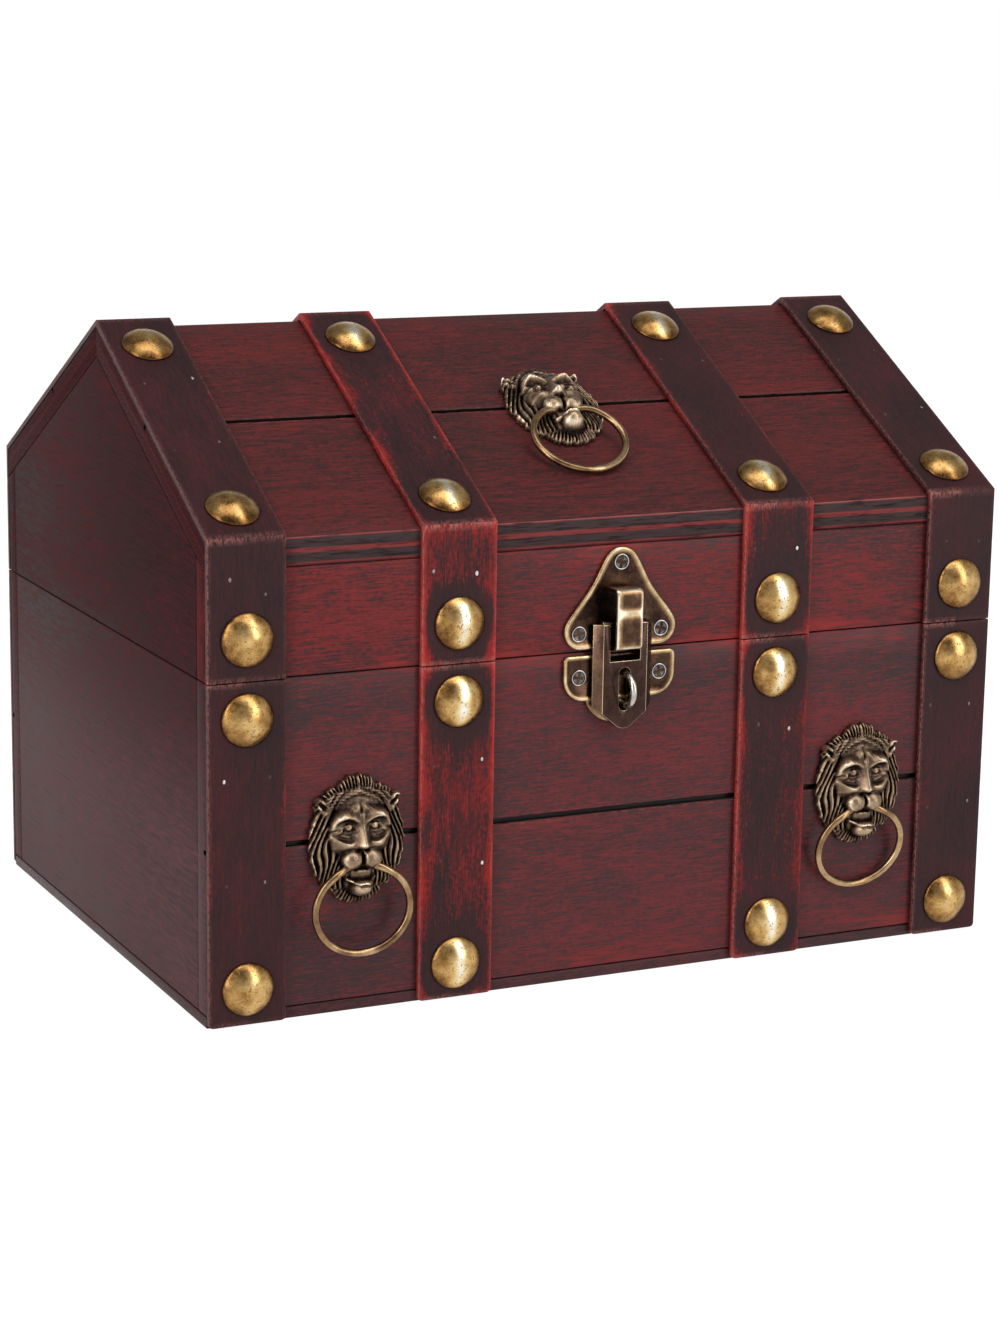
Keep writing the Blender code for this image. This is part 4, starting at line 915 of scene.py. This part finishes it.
def face_height(x, y):
    """Forehead, brows, eye sockets and cheeks."""
    side = np.abs(x)
    wide = np.interp(y, [-0.87, -0.6, -0.4, -0.22, -0.1, 0.1, 0.35, 0.6, 0.75],
                     [0.25, 0.31, 0.34, 0.44, 0.6, 0.66, 0.65, 0.58, 0.45])
    bound = (side / wide) ** 2.4 + (np.abs(y + 0.08) / 0.79) ** 3.2
    face = np.where(bound < 1, 2.2 + 2.5 * np.sqrt(np.maximum(0, 1 - bound)), -9.0) + 0.4 * bell(side, 0.5)
    face += fold(x, y, [(0.06, 0.3, 0.8), (0.12, 0.35, 1.3), (0.2, 0.395, 1.7), (0.3, 0.42, 2.0), (0.4, 0.42, 2.1),
                        (0.5, 0.375, 1.9), (0.57, 0.31, 1.5), (0.62, 0.23, 0.9)], 0.12, 0.06)
    for middle, size, rise, turn in FACE_MOUNDS:
        face += mound(x, y, middle, size, rise, turn)
    for start in (0.13, 0.215):
        crease = (y - 0.55) * MASK_ASPECT + 0.75 * (side - start)
        face -= 0.2 * bell(crease, 0.022) * bell(side - start - 0.02, 0.08)
    return face + fold(x, y, [(0.64, 0.125, 0.5), (0.58, 0.095, 0.9), (0.52, 0.065, 1.2), (0.45, 0.035, 1.4),
                              (0.38, 0.012, 1.5), (0.31, 0.0, 1.5), (0.25, -0.005, 1.4), (0.19, 0.005, 1.2),
                              (0.14, 0.03, 0.9)], 0.15, 0.035)


def mask_height(x, y):
    """The whole carving: mane and face, then nose, muzzle, mouth and chin, then the eyes."""
    side = np.abs(x)
    ridge = np.interp(y, [-0.12, -0.07, -0.02, 0.1, 0.25, 0.42, 0.5], [4.4, 7.5, 8.5, 7.4, 6.3, 5.5, 4.6])
    spread = np.interp(y, [-0.12, -0.02, 0.1, 0.25, 0.45], [0.2, 0.25, 0.2, 0.16, 0.18])
    nose = ridge - (ridge - 4.4) * np.clip(side / spread, 0, 2) ** 1.35
    nose = np.where((y > -0.115) & (y < 0.46) & (side < 1.1 * spread), nose, -9.0)
    top = soft_top([mane_height(x, y), face_height(x, y), swell(x, y, (0, -0.23), (0.46, 0.2), 3.2, 6.0, 0.7),
                    swell(x, y, (0, -0.64), (0.34, 0.2), 2.4, 5.2, 0.6)], 6.0)
    top = soft_top([top, nose, swell(x, y, (0.135, -0.05), (0.085, 0.06), 4.6, 6.3, 0.6),
                    swell(x, y, (0.2, -0.255), (0.222, 0.165), 4.6, 7.3, 0.55),
                    swell(x, y, (0, -0.7), (0.25, 0.155), 3.4, 8.0, 0.55)], 7.0)
    top += fold(x, y, [(0, -0.595, 1.1), (0.1, -0.615, 1.2), (0.2, -0.605, 1.3), (0.29, -0.57, 1.0)], 0.035, 0.035)
    top -= mound(x, y, (0, -0.655), (0.19, 0.016), 0.5) + mound(x, y, (0, -0.25), (0.024, 0.13), 1.3)
    top -= mound(x, y, (0.07, -0.095), (0.035, 0.016), 1.0)
    gape = np.clip(1.25 - (side / 0.29) ** 2 - ((y + 0.485) / 0.09) ** 2, 0, 1) ** 0.6
    tongue = np.clip(1 - (side / 0.2) ** 2, 0, 1) ** 0.7 * np.clip(1 - ((y + 0.5) / 0.08) ** 2, 0, 1) ** 0.6
    fang = bell(side - 0.19, 0.022) * np.clip(1 - ((y + 0.47) / 0.09) ** 2, 0, 1)
    top += (np.minimum(3.6 + 2.0 * tongue + 1.7 * fang, top) - top) * gape
    for spot in WHISKER_ROOTS:
        top -= mound(x, y, spot, (0.014, 0.011), 0.16)
    top = soft_top([top, swell(x, y, (0.265, 0.237), (0.11, 0.07), 3.6, 5.4, 0.6)], 9.0)
    top += fold(x, y, [(0.11, 0.195, 0.3), (0.18, 0.275, 0.55), (0.27, 0.3, 0.6), (0.36, 0.27, 0.5),
                       (0.45, 0.18, 0.25)], 0.024, 0.018)
    for low, rise in ((0.155, 0.4), (0.09, 0.38)):
        top += fold(x, y, [(0.15, low + 0.03, 0.2), (0.27, low, rise), (0.4, low + 0.025, 0.2)], 0.02, 0.02)
    return np.clip(top, 0.6, 8.6)


def lion_bmesh():
    """A dense disc raised into the carving, closed by a wall and a flat back."""
    bm = bmesh.new()
    bmesh.ops.create_grid(bm, x_segments=MASK_GRID, y_segments=MASK_GRID, size=1.0)
    square = np.array([vert.co[:2] for vert in bm.verts])
    disc = square * np.sqrt(1 - square[:, ::-1] ** 2 / 2)
    spread = disc * mask_reach(np.arctan2(disc[:, 1], disc[:, 0]))[:, None]
    x, y = spread[:, 0], spread[:, 1]
    rise = mask_height(x, y)
    around = np.zeros_like(rise)
    for step in range(8):
        turn = math.tau * step / 8
        around += mask_height(x + 0.07 * math.cos(turn), y + 0.055 * math.sin(turn)) / 8
    rim = np.clip((np.hypot(disc[:, 0], disc[:, 1]) - 0.95) / 0.05, 0, 1)
    rub = np.clip(0.36 + 0.62 * (rise - around) + 0.05 * (rise - 4.0) + 0.45 * rim, 0, 1)
    polish_and_light = layer(bm, "polish_and_light")
    for vert, across, up, height, bright in zip(bm.verts, x, y, rise, rub):
        vert.co = (across * MASK_HALF_WIDTH, up * MASK_HALF_HEIGHT, height * MM)
        vert[polish_and_light] = bright
    for _ in range(2):
        bmesh.ops.smooth_vert(bm, verts=bm.verts, factor=0.5, use_axis_z=True)
    close_back(bm, SEAT_GAP)
    return bm


def ring_bmesh():
    """An oval wire ring that hangs from the local origin along -Y, its ends hidden in the lion's mouth."""
    bm = bmesh.new()
    start = math.pi / 2 + RING_END_TURN
    upright = Matrix.Translation((RING_HALF_WIDTH, 0, 0)) @ Matrix.Rotation(math.pi / 2, 4, "X")
    place = Matrix.Rotation(start, 4, "Z") @ upright
    bmesh.ops.create_circle(bm, segments=16, radius=RING_WIRE, matrix=place)
    edges = bm.edges[:]
    spun = bmesh.ops.spin(bm, geom=bm.verts[:] + edges, cent=(0, 0, 0), axis=(0, 0, 1),
                          angle=math.tau - 2 * RING_END_TURN, steps=96)
    for ends in (edges, edges_of(spun["geom_last"])):
        bmesh.ops.edgeloop_fill(bm, edges=ends)
    for vert in bm.verts:
        middle = vert.co.xy.normalized() * RING_HALF_WIDTH
        from_end = abs(math.atan2(vert.co.x, vert.co.y)) - RING_END_TURN
        vert.co.z -= RING_TUCK * max(0.0, 1 - max(0.0, from_end) / 0.42) ** 2
        vert.co.y += middle.y * (RING_HALF_HEIGHT / RING_HALF_WIDTH - 1) - RING_DEPTH
    return bm


def make_lions():
    """Three lions, each with its ring hung in the mouth."""
    places = {"left": front_place(-MASK_X, MASK_HEIGHT), "right": front_place(MASK_X, MASK_HEIGHT),
              "lid": slope_place(0, MASK_SLOPE_RUN)}
    carving = lion_bmesh()
    mouth = Matrix.Translation((0, -MOUTH_DROP, RING_AXIS_OUT))
    for side, place in places.items():
        bm = carving.copy()
        bm.transform(place)
        body = "lid" if side == "lid" else "base"
        finish_piece(f"lion_mask_{side}", bm, body, [LION_BRONZE], [f"lion_{side}"], 60.0)
        bm = ring_bmesh()
        bm.transform(place @ mouth @ Matrix.Rotation(RING_LEANS[side], 4, "X"))
        finish_piece(f"pull_ring_{side}", bm, f"ring_{side}", [RING_BRASS], [f"ring_{side}"])
    carving.free()


def hull_plate(discs, low, high, waist=0.0):
    """A plate drawn tight round discs of (across, up, radius) in millimetres, its sides drawn in at the waist."""
    bm = bmesh.new()
    for x, y, radius in discs:
        middle = Matrix.Translation((x * MM, y * MM, (low + high) / 2))
        bmesh.ops.create_cone(bm, cap_ends=True, segments=40, radius1=radius * MM, radius2=radius * MM,
                              depth=high - low, matrix=middle)
    bmesh.ops.delete(bm, geom=bm.edges[:] + bm.faces[:], context="EDGES_FACES")
    bmesh.ops.convex_hull(bm, input=bm.verts[:])
    bmesh.ops.delete(bm, geom=[vert for vert in bm.verts if not vert.link_faces], context="VERTS")
    bmesh.ops.dissolve_limit(bm, angle_limit=math.radians(0.5), verts=bm.verts, edges=bm.edges)
    if waist:
        sides = [edge for edge in bm.edges
                 if edge.calc_length() > 12 * MM and edge.verts[0].co.x * edge.verts[1].co.x > 0]
        ends = {edge: [vert.co.copy() for vert in edge.verts] for edge in sides}
        cuts = bmesh.ops.subdivide_edges(bm, edges=sides, cuts=12)["geom_inner"]
        for vert in verts_of(cuts):
            first, last = min(ends.values(), key=lambda pair: (pair[0] - vert.co).cross(pair[1] - vert.co).length)
            share = (vert.co - first).length / (last - first).length
            vert.co.x -= math.copysign(waist * math.sin(math.pi * share) ** 2, vert.co.x)
        bmesh.ops.dissolve_limit(bm, angle_limit=math.radians(0.2), verts=[], edges=bm.edges[:])
    return bm


def top_face(bm):
    """The broadest face that looks out."""
    return max(bm.faces, key=lambda face: face.normal.z * face.calc_area())


def rimmed_plate(discs, middle, rim=1.0, waist=0.0):
    """A pressed plate: a rounded bright rim that falls softly to a dull sunk middle, with painted shade under the
    flap and the rim painted lighter on the left.
    """
    bm = hull_plate(discs, SEAT_GAP, PLATE_FACE, waist)
    for x in FLAP_SHADE_CUTS:
        bmesh.ops.bisect_plane(bm, geom=bm.verts[:] + bm.edges[:], dist=0.001 * MM, plane_co=(x, 0, 0),
                               plane_no=(1, 0, 0))
    polish_and_light = paint(bm, "polish_and_light", 0.7)
    soften(bm, top_face(bm).edges[:], 0.4 * MM, 3)
    upper = top_face(bm)
    # Painted light: the rim lighter on the left and darker on the right, as lit from the left
    for vert in upper.verts:
        vert[polish_and_light] = 0.78 - math.copysign(0.08, vert.co.x)
    for width, drop, bright in ((0.3, 0.0, 0.7), (0.35, 0.1, 0.42), (0.4, HASP_RECESS / MM - 0.1, middle)):
        bmesh.ops.inset_region(bm, faces=[upper], thickness=width * rim * MM, use_even_offset=False)
        for vert in upper.verts:
            vert.co.z -= drop * MM
            vert[polish_and_light] = bright
    # Painted shade under the flap
    for vert in bm.verts:
        if abs(vert.co.x) < FLAP_SHADE_AREA[0] and abs(vert.co.y) < FLAP_SHADE_AREA[1]:
            vert[polish_and_light] = 0.1
    return bm


def make_loop():
    """The band pressed out of the top plate, rubbed bright along its edges, with a painted highlight across its
    middle, its left edge painted bright over a wider reach as lit from the left, and painted shade on the legs back
    to the plate.
    """
    bm = bmesh.new()
    foot = [(0.0, SEAT_GAP)]
    for step in range(5):
        turn = math.pi / 2 * step / 4
        foot.append((LOOP_BEND * (1 - math.cos(turn)), LOOP_REACH - LOOP_BEND * (1 - math.sin(turn))))
    straight = [(LOOP_BEND + (LOOP_RISE - 2 * LOOP_BEND) * step / 12, LOOP_REACH) for step in range(1, 12)]
    path = foot + straight + [(LOOP_RISE - up, out) for up, out in reversed(foot)]
    points = [bm.verts.new((-LOOP_WIDTH / 2, LOOP_LOW + up, out)) for up, out in path]
    edges = [bm.edges.new(pair) for pair in zip(points, points[1:])]
    for _ in range(8):
        drawn = draw_out(bm, edges, (LOOP_WIDTH / 8, 0, 0))
        verts = verts_of(drawn)
        edges = [edge for edge in edges_of(drawn) if all(vert in verts for vert in edge.verts)]
    bmesh.ops.recalc_face_normals(bm, faces=bm.faces)
    if sum(face.normal.z for face in bm.faces) < 0:
        bmesh.ops.reverse_faces(bm, faces=bm.faces)
    bmesh.ops.solidify(bm, geom=bm.faces[:], thickness=LOOP_BAND)
    bmesh.ops.recalc_face_normals(bm, faces=bm.faces)
    soften(bm, sharp_edges(bm, 50), 0.3 * MM)
    polish_and_light = layer(bm, "polish_and_light")
    for vert in bm.verts:
        across, up, out = vert.co
        share = (up - LOOP_LOW) / LOOP_RISE
        # Painted light: the left edge bright over a wider reach, as lit from the left
        soft = 1.0 * MM if across < 0 else 0.55 * MM
        edge = max(bell(LOOP_WIDTH / 2 - abs(across), soft), bell(share, 0.07), bell(share - 1, 0.05))
        # Painted highlight across the middle of the front
        pale = math.exp(-((share - 0.6) / 0.09) ** 4)
        # Painted shade on the legs and bends that run back to the plate
        vert[polish_and_light] = (0.16 + 0.95 * edge + 0.7 * pale) if out > LOOP_REACH - LOOP_BEND else 0.06 + 0.3 * edge
    return bm


def screw_bmesh():
    """A countersunk screw head with a cross cut in it."""
    bm = bmesh.new()
    bmesh.ops.create_grid(bm, x_segments=26, y_segments=26, size=1.0)
    polish_and_light = layer(bm, "polish_and_light")
    for vert in bm.verts:
        x, y, _ = vert.co
        across, up = x * math.sqrt(1 - y * y / 2), y * math.sqrt(1 - x * x / 2)
        reach = math.hypot(across, up)
        rim = bell(reach - 0.9, 0.075)
        cross = min(abs(across), abs(up)) < 0.15 and max(abs(across), abs(up)) < 0.68
        height = 0.14 * rim - 0.08 * (reach < 0.75) - 0.45 * cross
        vert.co = (across * SCREW_RADIUS, up * SCREW_RADIUS, height * MM)
        vert[polish_and_light] = 0.0 if cross else max(rim, 0.43 * (reach < 0.75))
    close_back(bm, -SCREW_DEPTH)
    return bm


def make_screws(name, body, places):
    """Screws in one plate, each turned its own way."""
    turns = random.Random(LOOK_SEED)
    bm = bmesh.new()
    for place in places:
        screw = screw_bmesh()
        screw.transform(place @ Matrix.Rotation(turns.uniform(0, math.pi), 4, "Z"))
        join(bm, screw)
    finish_piece(name, bm, body, [SCREW_STEEL], sharp=50.0)


def make_staple():
    """A bent wire eye: half a ring with two straight feet."""
    bm = bmesh.new()
    bend = STAPLE_OUT - STAPLE_WIRE - STAPLE_RADIUS
    start = Matrix.Translation((0, -STAPLE_RADIUS, SEAT_GAP))
    bmesh.ops.create_circle(bm, cap_ends=True, segments=14, radius=STAPLE_WIRE, matrix=start)
    drawn = draw_out(bm, bm.edges[:], (0, 0, bend - SEAT_GAP))
    spun = bmesh.ops.spin(bm, geom=verts_of(drawn) + open_edges(drawn), cent=(0, 0, bend), axis=(-1, 0, 0),
                          angle=math.pi, steps=24)
    drawn = draw_out(bm, edges_of(spun["geom_last"]), (0, 0, SEAT_GAP - bend))
    bmesh.ops.edgeloop_fill(bm, edges=open_edges(drawn))
    bmesh.ops.remove_doubles(bm, verts=bm.verts, dist=MERGE)
    bm.transform(front_place(0, STAPLE_HEIGHT))
    finish_piece("padlock_staple", bm, "base", [STAPLE_STEEL], ["hasp_staple"])


def make_flap():
    """The swinging flap with its bent sides, its slot over the staple and bright edges, and its faces turned to the
    left painted lighter as lit from that side.
    """
    bm = node_copy("hasp_flap")
    across, low, high = FLAP_SLOT
    for vert in bm.verts:
        if abs(vert.co.x) < across and low < vert.co.z < high:
            vert.co.z += STAPLE_LIFT
    polish_and_light = rub_edges(bm, sharp_edges(bm, 24), 0.2 * MM, 0.14)
    # Painted light: faces turned to the left made lighter
    for face in bm.faces:
        if face.normal.x < -0.3 and face[polish_and_light] < 0.5:
            face[polish_and_light] = 0.34
    finish_piece("hasp_swing_flap", bm, "hasp_flap", [FLAP_BRONZE], ["hasp_flap"])


def make_hasp():
    """Top plate with its loop, lower plate, flap, staple and screws."""
    bm = rimmed_plate(TOP_PLATE_DISCS, 0.12, 1.4, HASP_WAIST)
    join(bm, make_loop())
    bm.transform(front_place(0, LID_BOTTOM))
    finish_piece("hasp_top", bm, "lid", [HASP_BRASS], ["hasp_top_plate"])
    bm = rimmed_plate(WING_DISCS, 0.2)
    lobe = hull_plate(LOBE_DISCS, SEAT_GAP, PLATE_FACE - HASP_RECESS - 0.12 * MM)
    soften(lobe, sharp_edges(lobe, 50), 0.2 * MM)
    paint(lobe, "polish_and_light", 0.5)
    join(bm, lobe)
    bm.transform(front_place(0, BASE_TOP))
    finish_piece("hasp_lower", bm, "base", [HASP_BRASS], ["hasp_base_plate"])
    make_flap()
    make_staple()
    sunk = Matrix.Translation((0, 0, PLATE_FACE - HASP_RECESS + 0.12 * MM))
    for name, body, spots in (("hasp_top_screws", "lid", LID_SCREWS), ("hasp_lower_screws", "base", BASE_SCREWS)):
        make_screws(name, body, [front_place(x * MM, z * MM) @ sunk for x, z in spots])


def make_brads():
    """Small pins beside the nails, in pairs across each strip."""
    spread = random.Random(LOOK_SEED)
    sets = {"base": bmesh.new(), "lid": bmesh.new()}
    rows = [("base", front_place, 64.0), ("base", front_place, 36.0), ("lid", front_place, 113.0),
            ("lid", slope_place, 36.5), ("lid", slope_place, 63.5)]
    profile = [(0, 0.12 * MM), (BRAD_RADIUS * 0.7, 0.09 * MM), (BRAD_RADIUS, 0), (BRAD_RADIUS, -BRAD_DEPTH),
               (0, -BRAD_DEPTH)]
    for x in STRAP_PLACES:
        for body, where, along in rows:
            for side in (-1, 1):
                across = x + (side * BRAD_APART + spread.uniform(-1.6, 1.6)) * MM
                place = where(across, (along + spread.uniform(-2.2, 2.2)) * MM)
                pin = turned(profile, 10)
                paint(pin, "polish_and_light", spread.random() ** 1.6)
                size = spread.uniform(0.7, 1.1)
                seat = place @ Matrix.Translation((0, 0, STRAP_TOP))
                pin.transform(seat @ Matrix.Diagonal((size, size * 1.5, 1, 1)))
                join(sets[body], pin)
    for body, bm in sets.items():
        finish_piece(f"{body}_strip_pins", bm, body, [BRAD_STEEL])


def make_hinges():
    """Stop hinges on the back with their screws and pins."""
    for side in ("left", "right"):
        low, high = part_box(f"hinge_{side}_pin")
        middle = (low + high) / 2
        for body, rise in (("base", -HINGE_SCREW_RISE), ("lid", HINGE_SCREW_RISE)):
            node = f"hinge_{side}_{body}_leaf"
            softened_copy(f"{node}_plate", node, body, HINGE_BRASS, HINGE_ROUND, 28.0, 0.3)
            places = []
            for across in (-HINGE_SCREW_ACROSS, HINGE_SCREW_ACROSS):
                place = TURN_BACK @ front_place(-(middle.x + across), middle.z + rise)
                places.append(place @ Matrix.Translation((0, 0, PLATE_FACE - 0.02 * MM)))
            make_screws(f"hinge_{side}_{body}_screws", body, places)
        half = (high.x - low.x) / 2
        head = half - PIN_HEAD
        upper = [(0, half), (PIN_HEAD_RADIUS - PIN_CHAMFER, half), (PIN_HEAD_RADIUS, half - PIN_CHAMFER),
                 (PIN_HEAD_RADIUS, head), (PIN_RADIUS, head)]
        bm = turned(upper + [(radius, -height) for radius, height in reversed(upper)], 28)
        bm.transform(Matrix.Translation(middle) @ Matrix.Rotation(math.pi / 2, 4, "Y"))
        finish_piece(f"hinge_{side}_rod", bm, "base", [HINGE_BRASS], [f"hinge_{side}_pin"])


# Camera, floor and light


def looking_at(target, azimuth, elevation, distance):
    """A place that looks at a target, from so many degrees round it and above it."""
    turn, rise = math.radians(azimuth), math.radians(elevation)
    back = Vector((math.sin(turn) * math.cos(rise), -math.cos(turn) * math.cos(rise), math.sin(rise)))
    return Matrix.Translation(target + back * distance) @ back.to_track_quat("Z", "Y").to_matrix().to_4x4()


def make_camera():
    """The camera at the photograph's viewing angle."""
    data = bpy.data.cameras.new("camera")
    data.sensor_width = 36.0
    data.lens = CAMERA_LENS
    data.clip_start = 0.01
    camera = in_scene("camera", data)
    place = looking_at(CAMERA_TARGET, CAMERA_AZIMUTH, CAMERA_ELEVATION, CAMERA_DISTANCE)
    camera.matrix_world = place @ Matrix.Rotation(math.radians(CAMERA_ROLL), 4, "Z")
    bpy.context.scene.camera = camera


def seen_directly(tree):
    """One for rays that show the background: straight to the camera, or by way of metal or glass."""
    path = add(tree, "ShaderNodeLightPath")
    seen = maths(tree, "MAXIMUM", path.outputs["Is Camera Ray"], path.outputs["Is Glossy Ray"])
    return maths(tree, "MAXIMUM", seen, path.outputs["Is Transmission Ray"])


def make_floor():
    """White paper that glows where it is seen, and takes the shadow."""
    bm = bmesh.new()
    bmesh.ops.create_grid(bm, x_segments=1, y_segments=1, size=FLOOR_HALF)
    bmesh.ops.translate(bm, verts=bm.verts, vec=(0, 0, -FLOOR_DROP))
    mesh = closed_mesh("studio_floor", bm)
    floor = in_scene("studio_floor", mesh)
    material = bpy.data.materials.new("studio_floor")
    material.use_nodes = True
    tree = material.node_tree
    tree.nodes.clear()
    paper = add(tree, "ShaderNodeBsdfDiffuse", {"Color": (0.8, 0.8, 0.8, 1.0)})
    glow = add(tree, "ShaderNodeEmission", {"Color": (1.0, 1.0, 1.0, 1.0), "Strength": 1.56})
    share = maths(tree, "MULTIPLY", seen_directly(tree), 0.6)
    mixed = add(tree, "ShaderNodeMixShader", {0: share, 1: paper.outputs[0], 2: glow.outputs[0]})
    out = add(tree, "ShaderNodeOutputMaterial", {0: mixed.outputs[0]})
    out.is_active_output = True
    mesh.materials.append(material)


def make_light():
    """A pale room, dimmer overhead and at the front, with three soft boxes."""
    world = bpy.data.worlds.new("studio")
    bpy.context.scene.world = world
    world.use_nodes = True
    tree = world.node_tree
    sky = tree.nodes["Background"]
    sky.inputs["Color"].default_value = (1.0, 1.0, 1.0, 1.0)
    aim = add(tree, "ShaderNodeTexCoord").outputs["Generated"]
    split = add(tree, "ShaderNodeSeparateXYZ", {0: aim})
    room = maths(tree, "MULTIPLY", step_between(tree, split.outputs["Z"], 0.12, 0.7, 1.0, 0.3),
                 step_between(tree, split.outputs["Y"], -0.85, -0.2, 0.6, 1.0))
    seen = seen_directly(tree)
    lit = maths(tree, "MULTIPLY", room, step_between(tree, seen, 0.0, 1.0, 0.5, 1.0))
    camera = add(tree, "ShaderNodeLightPath").outputs["Is Camera Ray"]
    tree.links.new(maths(tree, "MAXIMUM", lit, camera), sky.inputs["Strength"])
    for name, azimuth, elevation, distance, size, power in (
            ("right_softbox", 29.0, 26.0, 1.3, (0.36, 1.3), 7.0),
            ("left_softbox", -60.0, 22.0, 1.3, (0.3, 1.0), 6.5),
            ("top_softbox", -10.0, 68.0, 1.4, (1.2, 0.9), 9.0)):
        data = bpy.data.lights.new(name, "AREA")
        data.shape = "RECTANGLE"
        data.size, data.size_y = size
        data.energy = power
        in_scene(name, data).matrix_world = looking_at(LAMP_TARGET, azimuth, elevation, distance)


make_camera()
make_floor()
make_light()
make_boards()
make_strips()
make_nails()
make_lions()
make_hasp()
make_brads()
make_hinges()

bpy.context.scene.view_settings.view_transform = "Standard"
